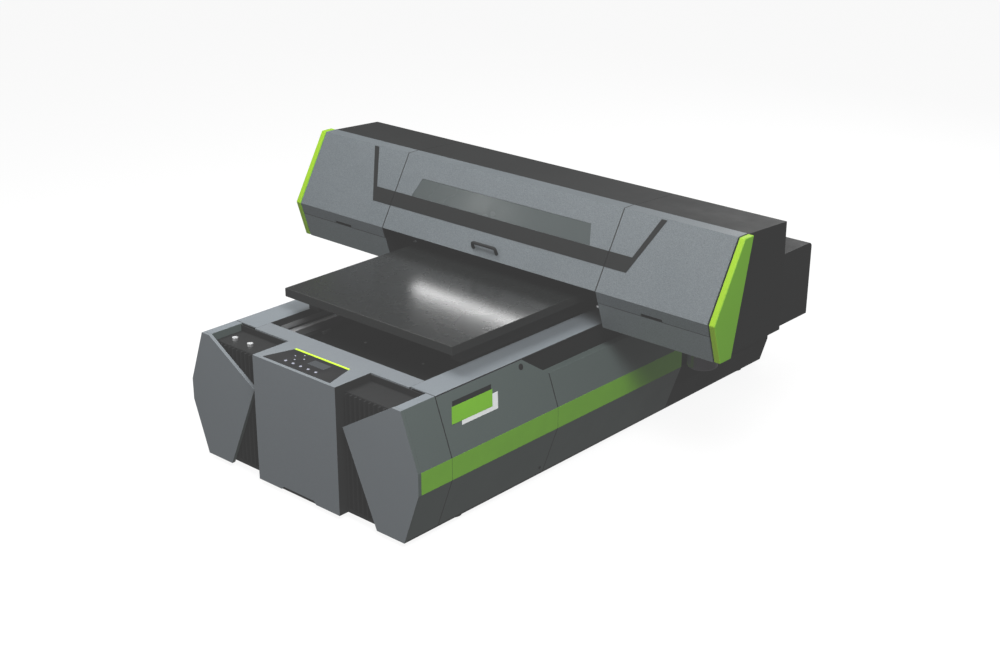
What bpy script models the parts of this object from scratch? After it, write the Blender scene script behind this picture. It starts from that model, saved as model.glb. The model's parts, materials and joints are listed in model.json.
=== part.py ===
"""Flatbed UV printer: a moving table on a low hexagonal base, under a lifting print gantry.

Metres, +Z up. The origin is on the floor under the middle of the machine, +X runs along the
gantry to the operator's right and +Y runs to the back, so the operator stands at -Y.
"""
import math

import bmesh
import bpy
from mathutils import Vector

# ---------------------------------------------------------------- driving dimensions
GAP = 0.0003                    # clearance between faces that touch
SEAM = 0.0012                   # visible joint between two casing panels
SHEET = 0.003                   # casing panels
CHASSIS_WALL = 0.004
CONSOLE_WALL = 0.004
FOOT_LIFT = 0.015               # casing's lower edge above the floor
FOOT_RADIUS = 0.024

TABLE_LENGTH = 0.920
TABLE_HALF = 0.310
TABLE_THICK = 0.0242
TABLE_RAISE = 0.0488            # table's underside above the rim
TABLE_SETBACK = 0.2502          # table's front edge behind the console's face
TABLE_FORWARD = 0.345           # travel of the table from its resting place
TABLE_BACKWARD = 0.560
REAR_ROOM = 0.2898              # base behind the table's middle at the back of its travel

BASE_HEIGHT = 0.352             # casing, from its lower edge to the rim
RIM_MARGIN = 0.0073             # rim outside the lift columns
BAND_PROUD = 0.0547             # green band outside the rim
HEM_PROUD = 0.0032
BAND_LOW = 0.1455               # green band, above the casing's lower edge
BAND_HIGH = 0.2046
SHELF_DROP = 0.0614             # step cut in the flanks beside the gantry, below the rim
LEDGE_DROP = 0.052              # ledges that carry the rails, below the rim
LEDGE_REACH = 0.026             # ledge inside the rail's middle
WELL_DROP = 0.010               # trough's floor below the ledges

CONSOLE_HALF = 0.1535
CONSOLE_PROUD = 0.0095          # console's face ahead of the corner plates
PLATE_THICK = 0.010             # angular corner plates
PLATE_TIP_GAP = 0.0125          # plate's tip outside the console
PLATE_TIP_HEIGHT = 0.2465
PLATE_HEM_WIDTH = 0.0955
PLATE_RIM_WIDTH = 0.0293
RECESS_DEPTH = 0.020            # trays beside the console, below the rim
RECESS_BACK = 0.1227            # trays' back, behind the console's face
RECESS_RIM = 0.0278             # rim outside the trays
DECK_BACK = 0.1751              # cross deck's back edge, behind the console's face
RIB_PITCH = 0.0165
RIB_WIDTH = 0.0045
RIB_DEPTH = 0.008
TOE_HALF = 0.066                # notch in the console's lower edge
TOE_TAPER = 0.008
TOE_HEIGHT = 0.009

PANEL_THICK = 0.0035            # control panel, let into the console's top
PANEL_PROUD = 0.0007
PANEL_DEPTH = 0.084
PANEL_FRONT_INSET = 0.0285      # panel's front corners inside the console's sides
PANEL_BACK_INSET = 0.0535
LIGHT_DEPTH = 0.0065            # light bar behind the panel
LIGHT_PROUD = 0.0012
KEY_RADIUS = 0.0040
KEY_CLEARANCE = 0.0004
KEY_RECESS = 0.0012             # underside of the keys above the panel's underside
KEY_PROUD = 0.0010
KEY_COUNT = 5
KEY_PITCH = 0.028
KEY_FIRST_X = -0.0595
KEY_SETBACK = 0.0195            # keys behind the panel's front edge
NAV_RADIUS = 0.021
NAV_X = -0.046
NAV_SETBACK = 0.0545
BUTTON_RADIUS = 0.008
BUTTON_CLEARANCE = 0.0005
BUTTON_HALF_HEIGHT = 0.008
BUTTON_SETBACK = 0.055          # push-buttons behind the corner plates' face
BUTTON_INSET = 0.0395           # power button's axis inside the ribbed insert's outer edge
BUTTON_PITCH = 0.061            # from the power button to the stop button

FRONT_SEAM = 0.1265             # first seam of the flanks, behind the console's face
NOTCH_START = 0.4336
MIDDLE_SEAM = 0.5233
BAND_END = 1.0660
SKIRT_PROUD = 0.0225            # low rear skirt outside the casing's lower edge
SKIRT_LOW = 0.075
SKIRT_HIGH = 0.1075

GANTRY_SETBACK = 0.7003         # gantry's nose behind the console's face
GANTRY_OVERHANG = 0.3757        # end of the gantry outside the seam of its covers
COVER_SPLIT_GAP = 0.0857        # seams between the three covers, outside the table
GANTRY_RAISE = 0.0046           # gantry's underside above the rim
NOSE_HEIGHT = 0.1102            # above the gantry's underside
CROWN_HEIGHT = 0.3105
COVER_SEAM_HEIGHT = 0.0761
NOSE_TO_UNDERSIDE = 0.0343      # run from the nose back to the lower front edge
NOSE_TO_CROWN = 0.1159          # run from the nose back to the top front edge
CROWN_DEPTH = 0.0387            # flat strip on top, back to the hinge line
NOSE_HEM = 0.010                # fold under the centre cover's nose
HOUSING_DEPTH = 0.3334          # nose to the rear wall
HOUSING_DROP = 0.0110           # fall of the roof towards the back
CAP_THICK = 0.018
CAP_FOOT_DEPTH = 0.0831         # nose to the lower rear corner of an end cap
FINGER_SLOT_HALF = 0.034
FINGER_SLOT_HEIGHT = 0.007

HANDLE_LENGTH = 0.095
HANDLE_RADIUS = 0.0045
HANDLE_STANDOFF = 0.016
HANDLE_BEND = 0.006
HANDLE_RUN = 0.0205             # legs' feet, along the slope from the nose
HANDLE_FOOT = 0.003             # square part of each leg
HANDLE_RISE = 0.011             # bar further up the slope than the feet
WINDOW_TOP_INSET = 0.0857       # window's corners inside the cover's ends
WINDOW_LOW_INSET = 0.0660
WINDOW_LOW = 0.1125             # along the slope, from the nose
WINDOW_HIGH = 0.1689
WINDOW_THICK = 0.003

CABINET_DEPTH = 0.1325          # ink cabinet behind the right overhang
CABINET_HEIGHT = 0.200
CABINET_RAISE = 0.0105
CABINET_CORNER = 0.012
BOTTLE_RADIUS = 0.040           # waste bottle under the right overhang
BOTTLE_HEIGHT = 0.0565
BOTTLE_SHOULDER = 0.006
BOTTLE_INSET = 0.085            # bottle's axis inside the overhang's end
BOTTLE_SETBACK = 0.109

RAIL_INSET = 0.044              # linear rails inside the table's edge
RAIL_WIDTH = 0.020
RAIL_HEIGHT = 0.018
RAIL_CLEARANCE = 0.0005
RAIL_OVERRUN = 0.006            # rail past the rail blocks at the front of their travel
WELL_MARGIN = 0.0215            # trough's wall outside the rail's middle
BLOCK_SPREAD = 0.125            # rail blocks, either side of the table's middle
BLOCK_HALF = 0.050
BLOCK_GRIP = 0.008              # block beside the rail
BEARER_WIDTH = 0.0385
BEARER_CLEAR = 0.004            # table's frame above the rim, and inside the trough's wall
FRAME_MARGIN = 0.060            # frame's ends inside the table's ends
BRACE_DEPTH = 0.041
BRACE_HALF = 0.025
SCREW_RADIUS = 0.010
SCREW_DROP = 0.028              # screw's axis below the trough's floor
SCREW_CLEARANCE = 0.0005
NUT_HALF_LENGTH = 0.030
NUT_HALF_WIDTH = 0.022
NUT_HALF_HEIGHT = 0.018
NECK_HALF_LENGTH = 0.020
NECK_HALF_WIDTH = 0.012
SLOT_CLEARANCE = 0.004          # slot in the trough's floor round the nut's neck
BEARING_LENGTH = 0.025
BEARING_HALF = 0.025
MOTOR_LENGTH = 0.050
MOTOR_HALF = 0.021
COLUMN_WIDTH = 0.040
COLUMN_DEPTH = 0.060
COLUMN_HEIGHT = 0.288
COLUMN_CLEARANCE = 0.012        # columns outside the table
SLEEVE_CLEARANCE = 0.0015
SLEEVE_WALL = 0.0185

BEAM_SETBACK = 0.164            # beam behind the nose
BEAM_DEPTH = 0.060
BEAM_RAISE = 0.1335
BEAM_HEIGHT = 0.120
BEAM_WALL = 0.004
BEAM_TO_COLUMN = 0.0085
X_RAIL_DEPTH = 0.010
X_RAIL_HEIGHT = 0.020
X_RAIL_INSET = 0.052
HEAD_CLEARANCE = 0.0126         # print head above the table
HEAD_SETBACK = 0.1115           # middle of the print head behind the nose
HEAD_HALF_X = 0.045
HEAD_HALF_Y = 0.0275
HEAD_HEIGHT = 0.0075
CHEEK_DROP = 0.0075             # housings' inner cheeks below the print head
CARRIAGE_WIDTH = 0.150
CARRIAGE_SETBACK = 0.0741
CARRIAGE_CLEARANCE = 0.0012     # carriage ahead of the crosswise rail
LAMP_WIDTH = 0.050
LAMP_HALF_Y = 0.030
LAMP_HEIGHT = 0.080
LAMP_RAISE = 0.0025
PARK_OFFSET = 0.0244            # parked carriage inside the middle of the right overhang
CAPPING_HALF_X = 0.055
CAPPING_HALF_Y = 0.0325
CAPPING_WALL = 0.011
CAPPING_DEPTH = 0.006

# ---------------------------------------------------------------- derived places
BASE_LENGTH = TABLE_SETBACK + TABLE_LENGTH / 2 + TABLE_BACKWARD + REAR_ROOM
FRONT_Y = -BASE_LENGTH / 2
REAR_Y = BASE_LENGTH / 2
HEM_Z = FOOT_LIFT
RIM_Z = HEM_Z + BASE_HEIGHT
PLATE_Y = FRONT_Y + CONSOLE_PROUD
RECESS_BACK_Y = FRONT_Y + RECESS_BACK
DECK_BACK_Y = FRONT_Y + DECK_BACK
FRONT_SEAM_Y = FRONT_Y + FRONT_SEAM
MIDDLE_SEAM_Y = FRONT_Y + MIDDLE_SEAM
BAND_END_Y = FRONT_Y + BAND_END
SHELF_Z = RIM_Z - SHELF_DROP
RECESS_Z = RIM_Z - RECESS_DEPTH

COLUMN_X = TABLE_HALF + COLUMN_CLEARANCE + COLUMN_WIDTH / 2
RIM_HALF = COLUMN_X + COLUMN_WIDTH / 2 + RIM_MARGIN     # hexagonal section's half widths
BAND_HALF = RIM_HALF + BAND_PROUD
HEM_HALF = RIM_HALF + HEM_PROUD
SKIRT_HALF = HEM_HALF + SKIRT_PROUD
RAIL_X = TABLE_HALF - RAIL_INSET
WELL_HALF = RAIL_X + WELL_MARGIN                        # open trough between the two rims
RECESS_OUTER_X = RIM_HALF - RECESS_RIM
PLATE_TIP_X = CONSOLE_HALF + PLATE_TIP_GAP
PLATE_HEM_X = HEM_HALF - PLATE_HEM_WIDTH
PLATE_RIM_X = RIM_HALF - PLATE_RIM_WIDTH
INSERT_INNER_X = CONSOLE_HALF + 0.001                   # ribbed inserts beside the console
INSERT_OUTER_X = RECESS_OUTER_X - 0.001
INSERT_LOW_Z = HEM_Z + 0.006
RIB_FRONT_Y = PLATE_Y + PLATE_THICK + 0.004

PANEL_LOW_Z = RIM_Z + PANEL_PROUD - PANEL_THICK
PANEL_FRONT_HALF = CONSOLE_HALF - PANEL_FRONT_INSET
PANEL_BACK_HALF = CONSOLE_HALF - PANEL_BACK_INSET
PANEL_FRONT_Y = PLATE_Y + 0.001
PANEL_BACK_Y = PANEL_FRONT_Y + PANEL_DEPTH
NAV_Y = PANEL_FRONT_Y + NAV_SETBACK
KEY_Y = PANEL_FRONT_Y + KEY_SETBACK
KEY_LOW_Z = PANEL_LOW_Z + KEY_RECESS
KEY_HIGH_Z = PANEL_LOW_Z + PANEL_THICK + KEY_PROUD
BUTTON_Y = PLATE_Y + BUTTON_SETBACK
POWER_BUTTON_X = BUTTON_INSET - INSERT_OUTER_X
STOP_BUTTON_X = POWER_BUTTON_X + BUTTON_PITCH

CHASSIS_TOP_Z = RIM_Z - SHEET - GAP
CHASSIS_OUTER_X = RIM_HALF - SHEET - GAP
CHASSIS_INNER_X = WELL_HALF + SHEET + 0.002
CHASSIS_FRONT_Y = DECK_BACK_Y + 0.001
CHASSIS_BACK_Y = REAR_Y - 0.0045
LEDGE_Z = RIM_Z - LEDGE_DROP
LEDGE_INNER_X = RAIL_X - LEDGE_REACH
CHASSIS_FLOOR_Z = HEM_Z + 0.0155
CHASSIS_LIP_Z = HEM_Z + 0.011
CHASSIS_LIP_X = CHASSIS_OUTER_X - 0.066
WELL_FLOOR_Z = LEDGE_Z - WELL_DROP
SCREW_Z = WELL_FLOOR_Z - SCREW_DROP

TABLE_LOW_Z = RIM_Z + TABLE_RAISE
TABLE_FRONT_Y = FRONT_Y + TABLE_SETBACK
TABLE_MID_Y = TABLE_FRONT_Y + TABLE_LENGTH / 2
BEARER_OUTER_X = WELL_HALF - BEARER_CLEAR
BEARER_INNER_X = BEARER_OUTER_X - BEARER_WIDTH
BEARER_LOW_Z = RIM_Z + BEARER_CLEAR
BRACE_LOW_Z = TABLE_LOW_Z - BRACE_DEPTH
RAIL_FRONT_Y = TABLE_MID_Y - TABLE_FORWARD - BLOCK_SPREAD - BLOCK_HALF - RAIL_OVERRUN
RAIL_BACK_Y = CHASSIS_BACK_Y - 0.050
BEARING_BACK_Y = TABLE_MID_Y - TABLE_FORWARD - NUT_HALF_LENGTH - 0.005
SCREW_FRONT_Y = BEARING_BACK_Y - BEARING_LENGTH + 0.009
SCREW_BACK_Y = TABLE_MID_Y + TABLE_BACKWARD + NUT_HALF_LENGTH + 0.030
SLOT_FRONT_Y = TABLE_MID_Y - TABLE_FORWARD - NECK_HALF_LENGTH - SLOT_CLEARANCE
SLOT_BACK_Y = TABLE_MID_Y + TABLE_BACKWARD + NECK_HALF_LENGTH + SLOT_CLEARANCE

COVER_SPLIT_X = TABLE_HALF + COVER_SPLIT_GAP
GANTRY_HALF = COVER_SPLIT_X + GANTRY_OVERHANG
NOSE_Y = FRONT_Y + GANTRY_SETBACK
UNDER_Z = RIM_Z + GANTRY_RAISE
NOSE_Z = UNDER_Z + NOSE_HEIGHT
CROWN_Z = UNDER_Z + CROWN_HEIGHT
COVER_SEAM_Z = UNDER_Z + COVER_SEAM_HEIGHT
UNDER_FRONT_Y = NOSE_Y + NOSE_TO_UNDERSIDE
CROWN_FRONT_Y = NOSE_Y + NOSE_TO_CROWN
HINGE_Y = CROWN_FRONT_Y + CROWN_DEPTH
HOUSING_BACK_Y = NOSE_Y + HOUSING_DEPTH
HOUSING_X = GANTRY_HALF - CAP_THICK - GAP
HOUSING_INNER_X = COVER_SPLIT_X + SEAM / 2
COVER_END_X = HOUSING_X - SHEET - 0.0005
HOUSING_TOP_Z = CROWN_Z - 0.0016
HOUSING_FLOOR_Z = UNDER_Z + 0.0005
SLOPE_ANGLE = math.atan2(CROWN_Z - NOSE_Z, NOSE_TO_CROWN)
FINGER_SLOT_X = (COVER_SPLIT_X + COVER_END_X) / 2
WINDOW_TOP_HALF = COVER_SPLIT_X - WINDOW_TOP_INSET
WINDOW_LOW_HALF = COVER_SPLIT_X - WINDOW_LOW_INSET

BEAM_FRONT_Y = NOSE_Y + BEAM_SETBACK
BEAM_BACK_Y = BEAM_FRONT_Y + BEAM_DEPTH
BEAM_LOW_Z = UNDER_Z + BEAM_RAISE
BEAM_HIGH_Z = BEAM_LOW_Z + BEAM_HEIGHT
X_RAIL_LOW_Z = (BEAM_LOW_Z + BEAM_HIGH_Z - X_RAIL_HEIGHT) / 2
X_RAIL_FRONT_Y = BEAM_FRONT_Y - GAP - X_RAIL_DEPTH
COLUMN_Y = BEAM_BACK_Y + BEAM_TO_COLUMN + COLUMN_DEPTH / 2
HEAD_LOW_Z = TABLE_LOW_Z + TABLE_THICK + HEAD_CLEARANCE
HEAD_Y = NOSE_Y + HEAD_SETBACK
CHEEK_TOP_Z = HEAD_LOW_Z - CHEEK_DROP
PARK_X = (COVER_SPLIT_X + HOUSING_X) / 2 - PARK_OFFSET

# ---------------------------------------------------------------- colours: colour, roughness, metallic
GREY_PAINT = ((0.16, 0.17, 0.18), 0.45, 0.2)
FLANK_PAINT = ((0.09, 0.10, 0.10), 0.50, 0.2)
RIM_PAINT = ((0.33, 0.35, 0.36), 0.45, 0.2)
BLACK_PAINT = ((0.03, 0.03, 0.03), 0.50, 0.1)
LIME_PLASTIC = ((0.30, 0.55, 0.03), 0.40, 0.0)
LIME_LIGHT = ((0.62, 0.85, 0.05), 0.30, 0.0)
GLOSS_BLACK = ((0.015, 0.015, 0.017), 0.12, 0.0)
SMOKED_GLASS = ((0.10, 0.11, 0.11), 0.10, 0.0)
STEEL = ((0.60, 0.61, 0.62), 0.25, 1.0)
ALUMINIUM = ((0.45, 0.46, 0.47), 0.40, 1.0)
PALE_KEY = ((0.60, 0.62, 0.66), 0.40, 0.0)
RUBBER = ((0.02, 0.02, 0.02), 0.85, 0.0)

# local axes of a flat outline, as rotations: its normal runs along the named world axis
FACING = {
    "Z": (0.0, 0.0, 0.0),
    "Y": (math.pi / 2, 0.0, 0.0),
    "X": (math.pi / 2, 0.0, math.pi / 2),
}

for old in list(bpy.data.objects):
    bpy.data.objects.remove(old, do_unlink=True)
MACHINE = bpy.data.collections.new("flatbed_uv_printer")
CUTTERS = bpy.data.collections.new("cutters")
bpy.context.scene.collection.children.link(MACHINE)
bpy.context.scene.collection.children.link(CUTTERS)


# ---------------------------------------------------------------- modelling helpers
def paint(piece, finish):
    """Give a piece its own Principled material."""
    colour, roughness, metallic = finish
    material = bpy.data.materials.new(piece.name)
    material.use_nodes = True
    shader = material.node_tree.nodes["Principled BSDF"]
    shader.inputs["Base Color"].default_value = (*colour, 1.0)
    shader.inputs["Roughness"].default_value = roughness
    shader.inputs["Metallic"].default_value = metallic
    piece.data.materials.clear()
    piece.data.materials.append(material)


def add_piece(name, mesh, place, finish):
    """Link a mesh as a sub-part, or as a cutter when it has no finish."""
    piece = bpy.data.objects.new(name, mesh)
    piece.location = place
    if finish is None:
        CUTTERS.objects.link(piece)
        piece.hide_render = True
        piece.display_type = "WIRE"
    else:
        MACHINE.objects.link(piece)
        paint(piece, finish)
    return piece


def box(name, low, high, finish=None):
    """A block between two corners."""
    size = [b - a for a, b in zip(low, high)]
    middle = [(a + b) / 2 for a, b in zip(low, high)]
    bm = bmesh.new()
    bmesh.ops.create_cube(bm, size=1.0)
    bmesh.ops.scale(bm, verts=bm.verts, vec=size)
    mesh = bpy.data.meshes.new(name)
    bm.to_mesh(mesh)
    bm.free()
    return add_piece(name, mesh, middle, finish)


def cylinder(name, radius, length, middle, axis="Z", finish=None, sides=24):
    """A round bar centred on a point."""
    bm = bmesh.new()
    bmesh.ops.create_cone(bm, cap_ends=True, segments=sides, radius1=radius, radius2=radius, depth=length)
    mesh = bpy.data.meshes.new(name)
    bm.to_mesh(mesh)
    bm.free()
    mesh.shade_smooth()
    mesh.set_sharp_from_angle(angle=math.radians(40))
    piece = add_piece(name, mesh, middle, finish)
    piece.rotation_euler = FACING[axis]
    return piece


def outline(name, points, thickness, place, axis, finish=None, holes=()):
    """A flat outline with its thickness centred on the place, welded into a solid mesh."""
    curve = bpy.data.curves.new(name, "CURVE")
    curve.dimensions = "2D"
    curve.fill_mode = "BOTH"
    curve.extrude = thickness / 2
    for loop in (points, *holes):
        spline = curve.splines.new("POLY")
        spline.points.add(len(loop) - 1)
        for point, (u, v) in zip(spline.points, loop):
            point.co = (u, v, 0.0, 1.0)
        spline.use_cyclic_u = True
    guide = bpy.data.objects.new(name + "_curve", curve)
    CUTTERS.objects.link(guide)
    bpy.context.view_layer.update()
    depsgraph = bpy.context.evaluated_depsgraph_get()
    mesh = bpy.data.meshes.new_from_object(guide.evaluated_get(depsgraph))
    mesh.name = name
    bm = bmesh.new()
    bm.from_mesh(mesh)
    bmesh.ops.remove_doubles(bm, verts=bm.verts, dist=0.00001)
    bmesh.ops.dissolve_limit(bm, angle_limit=0.001, verts=bm.verts, edges=bm.edges)
    bmesh.ops.recalc_face_normals(bm, faces=bm.faces)
    bm.to_mesh(mesh)
    bm.free()
    bpy.data.objects.remove(guide, do_unlink=True)
    bpy.data.curves.remove(curve)
    piece = add_piece(name, mesh, place, finish)
    piece.rotation_euler = FACING[axis]
    return piece


def folded_sheet(name, profile, start, length, axis, finish, thickness=SHEET):
    """A bent panel: an open profile swept along Y or X, thickened away from its outer face.

    Along Y the profile is (x, z) and along X it is (y, z); the outer face is on the left of
    the direction of travel, so a run towards +X or towards -Y has its outer face on top.
    """
    if axis == "Y":
        along = Vector((0.0, length, 0.0))
        place = (0.0, start, 0.0)
        corners = [Vector((u, 0.0, v)) for u, v in profile]
    else:
        along = Vector((length, 0.0, 0.0))
        place = (start, 0.0, 0.0)
        corners = [Vector((0.0, u, v)) for u, v in profile]
    bm = bmesh.new()
    verts = [bm.verts.new(corner) for corner in corners]
    edges = [bm.edges.new(pair) for pair in zip(verts, verts[1:])]
    swept = bmesh.ops.extrude_edge_only(bm, edges=edges)["geom"]
    moved = [item for item in swept if isinstance(item, bmesh.types.BMVert)]
    bmesh.ops.translate(bm, verts=moved, vec=along)
    bmesh.ops.recalc_face_normals(bm, faces=bm.faces)
    bm.normal_update()
    outward = (corners[1] - corners[0]).cross(along)
    first = next(face for face in bm.faces if verts[0] in face.verts and verts[1] in face.verts)
    if first.normal.dot(outward) < 0:
        bmesh.ops.reverse_faces(bm, faces=bm.faces)
    mesh = bpy.data.meshes.new(name)
    bm.to_mesh(mesh)
    bm.free()
    piece = add_piece(name, mesh, place, finish)
    solid = piece.modifiers.new("thickness", "SOLIDIFY")
    solid.thickness = thickness
    solid.offset = -1.0
    solid.use_even_offset = True
    return piece


def combine(piece, other, operation):
    """Cut a piece with another solid, or weld the other solid to it."""
    step = piece.modifiers.new(operation.lower() + "_" + other.name, "BOOLEAN")
    step.operation = operation
    step.object = other
    step.solver = "EXACT"


def cut(piece, *tools):
    for tool in tools:
        combine(piece, tool, "DIFFERENCE")


def weld(piece, *others):
    for other in others:
        combine(piece, other, "UNION")


def soften(piece, width, segments=2):
    """Round a piece's sharp edges."""
    edge = piece.modifiers.new("rounded_edges", "BEVEL")
    edge.width = width
    edge.segments = segments
    edge.limit_method = "ANGLE"


def mirrored(profile, side):
    """A profile as it is for the right side (+1), or reflected and reversed for the left (-1)."""
    if side > 0:
        return list(profile)
    return [(-u, v) for u, v in reversed(profile)]


def span(side, inner, outer):
    """Lowest and highest X of a strip that runs from inner to outer on one side."""
    return (inner, outer) if side > 0 else (-outer, -inner)


def on_slope(run, height=0.0):
    """Y and Z of a point on the gantry's sloping face: run up from the nose, height proud of it."""
    y = NOSE_Y + run * math.cos(SLOPE_ANGLE) - height * math.sin(SLOPE_ANGLE)
    z = NOSE_Z + run * math.sin(SLOPE_ANGLE) + height * math.cos(SLOPE_ANGLE)
    return y, z


def quarter_turn(radius, steps=4):
    """Distances in from the two sides of a round corner, from its first side to its second."""
    for step in range(steps + 1):
        angle = math.pi / 2 * step / steps
        yield radius * (1 - math.cos(angle)), radius * (1 - math.sin(angle))


def carry(name, place, pieces):
    """Hang pieces on an empty that stands on their joint's axis."""
    axis = bpy.data.objects.new(name, None)
    axis.location = place
    MACHINE.objects.link(axis)
    for piece in pieces:
        piece.parent = axis
        piece.location = Vector(piece.location) - Vector(place)
    return axis


# ---------------------------------------------------------------- base
def flank_profile(high_z):
    """Outer face of a flank from a height on its upper facet down to the hem."""
    lean = (BAND_HALF - RIM_HALF) / (BASE_HEIGHT - BAND_HIGH)
    top_x = RIM_HALF + lean * (RIM_Z - high_z)
    return [
        (top_x, high_z),
        (BAND_HALF, HEM_Z + BAND_HIGH),
        (BAND_HALF, HEM_Z + BAND_LOW),
        (HEM_HALF, HEM_Z),
    ]


def build_chassis():
    half = [
        (CHASSIS_LIP_X, CHASSIS_LIP_Z),
        (CHASSIS_OUTER_X, CHASSIS_LIP_Z),
        (CHASSIS_OUTER_X, CHASSIS_TOP_Z),
        (CHASSIS_INNER_X, CHASSIS_TOP_Z),
        (CHASSIS_INNER_X, LEDGE_Z),
        (LEDGE_INNER_X, LEDGE_Z),
        (LEDGE_INNER_X, CHASSIS_FLOOR_Z),
    ]
    profile = [(-x, z) for x, z in half] + list(reversed(half))
    length = CHASSIS_BACK_Y - CHASSIS_FRONT_Y
    folded_sheet("base_chassis", profile, CHASSIS_FRONT_Y, length, "Y", BLACK_PAINT, CHASSIS_WALL)


def build_well_floor():
    half = LEDGE_INNER_X - 0.0005
    front = RECESS_BACK_Y + 0.008
    slot_half = NECK_HALF_WIDTH + SLOT_CLEARANCE
    plate = box(
        "well_floor",
        (-half, front, WELL_FLOOR_Z - SHEET),
        (half, CHASSIS_BACK_Y - 0.03, WELL_FLOOR_Z),
        BLACK_PAINT,
    )
    slot = box(
        "well_slot",
        (-slot_half, SLOT_FRONT_Y, WELL_FLOOR_Z - 0.02),
        (slot_half, SLOT_BACK_Y, WELL_FLOOR_Z + 0.02),
    )
    cut(plate, slot)


def build_top_rail(name, side):
    profile = [(WELL_HALF, LEDGE_Z + 0.0005), (WELL_HALF, RIM_Z), (RIM_HALF, RIM_Z)]
    start = FRONT_SEAM_Y + SEAM / 2
    folded_sheet(name, mirrored(profile, side), start, CHASSIS_BACK_Y - start, "Y", RIM_PAINT)


def build_front_side(name, side):
    profile = [(RECESS_OUTER_X, RECESS_Z - 0.005), (RECESS_OUTER_X, RIM_Z)] + flank_profile(RIM_Z)
    start = PLATE_Y + PLATE_THICK + GAP
    length = FRONT_SEAM_Y - SEAM / 2 - start
    folded_sheet(name, mirrored(profile, side), start, length, "Y", FLANK_PAINT)


def build_middle_side(name, side):
    start = FRONT_SEAM_Y + SEAM / 2
    length = MIDDLE_SEAM_Y - SEAM / 2 - start
    profile = flank_profile(RIM_Z - SHEET - 0.0005)
    panel = folded_sheet(name, mirrored(profile, side), start, length, "Y", FLANK_PAINT)
    notch = [
        (FRONT_Y + NOTCH_START, RIM_Z + 0.001),
        (MIDDLE_SEAM_Y, SHELF_Z),
        (MIDDLE_SEAM_Y + 0.05, SHELF_Z),
        (MIDDLE_SEAM_Y + 0.05, RIM_Z + 0.001),
    ]
    cut(panel, outline(name + "_notch", notch, 0.2, (side * RIM_HALF, 0.0, 0.0), "X"))


def build_rear_side(name, side):
    shelf_x = CHASSIS_OUTER_X + 0.0015
    profile = [(shelf_x, SHELF_Z)] + flank_profile(SHELF_Z)
    start = MIDDLE_SEAM_Y + SEAM / 2
    folded_sheet(name, mirrored(profile, side), start, BAND_END_Y - start, "Y", FLANK_PAINT)


def build_rear_skirt():
    plate_front = CHASSIS_BACK_Y + GAP
    half = [
        (HEM_HALF, HEM_Z),
        (SKIRT_HALF, HEM_Z + SKIRT_LOW),
        (SKIRT_HALF, HEM_Z + SKIRT_HIGH),
        (CHASSIS_OUTER_X, HEM_Z + SKIRT_HIGH),
        (CHASSIS_OUTER_X, RIM_Z),
    ]
    points = half + [(-x, z) for x, z in reversed(half)]
    middle_y = (plate_front + REAR_Y) / 2
    plate = outline("rear_skirt", points, REAR_Y - plate_front, (0.0, middle_y, 0.0), "Y", BLACK_PAINT)
    side_profile = [
        (CHASSIS_OUTER_X + 0.0015, HEM_Z + SKIRT_HIGH),
        (SKIRT_HALF, HEM_Z + SKIRT_HIGH),
        (SKIRT_HALF, HEM_Z + SKIRT_LOW),
        (HEM_HALF, HEM_Z),
    ]
    start = BAND_END_Y + SEAM
    for label, side in (("left", -1), ("right", 1)):
        wall = folded_sheet(
            label + "_skirt_wall", mirrored(side_profile, side), start, middle_y - start, "Y", None
        )
        weld(plate, wall)


def build_front_console():
    tower_low = (-CONSOLE_HALF, FRONT_Y, HEM_Z)
    tower = box("front_console", tower_low, (CONSOLE_HALF, RECESS_BACK_Y, RIM_Z), GREY_PAINT)
    deck_half = WELL_HALF - 0.0006
    deck_low_z = WELL_FLOOR_Z + 0.0005
    deck_low = (-deck_half, RECESS_BACK_Y - 0.001, deck_low_z)
    deck = box("console_deck", deck_low, (deck_half, DECK_BACK_Y, RIM_Z))
    weld(tower, deck)
    wall = CONSOLE_WALL
    hollow = box(
        "console_hollow",
        (-CONSOLE_HALF + wall, FRONT_Y + wall, HEM_Z - 0.01),
        (CONSOLE_HALF - wall, RECESS_BACK_Y - wall, RIM_Z - 0.006),
    )
    deck_hollow = box(
        "console_deck_hollow",
        (-deck_half + wall, RECESS_BACK_Y + wall, deck_low_z - 0.01),
        (deck_half - wall, DECK_BACK_Y - wall, RIM_Z - wall),
    )
    toe_half = [
        (TOE_HALF, HEM_Z - 0.01),
        (TOE_HALF, HEM_Z),
        (TOE_HALF - TOE_TAPER, HEM_Z + TOE_HEIGHT),
    ]
    toe = toe_half + [(-x, z) for x, z in reversed(toe_half)]
    toe_notch = outline("console_toe_notch", toe, 0.02, (0.0, FRONT_Y, 0.0), "Y")
    pocket = outline(
        "console_pocket", panel_outline(GAP), PANEL_THICK + 0.01, (0.0, 0.0, PANEL_LOW_Z + 0.0047), "Z"
    )
    light_pocket = box("light_pocket", *light_corners(GAP))
    cut(tower, hollow, deck_hollow, toe_notch, pocket, light_pocket)


def panel_outline(grow=0.0):
    return [
        (-PANEL_FRONT_HALF - grow, PANEL_FRONT_Y - grow),
        (PANEL_FRONT_HALF + grow, PANEL_FRONT_Y - grow),
        (PANEL_BACK_HALF + grow, PANEL_BACK_Y + grow),
        (-PANEL_BACK_HALF - grow, PANEL_BACK_Y + grow),
    ]


def light_corners(grow=0.0):
    front = PANEL_BACK_Y + 2 * GAP
    low = (-PANEL_BACK_HALF - grow, front - grow, PANEL_LOW_Z + GAP - grow)
    high = (PANEL_BACK_HALF + grow, front + LIGHT_DEPTH + grow, RIM_Z + LIGHT_PROUD + 10 * grow)
    return low, high


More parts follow.
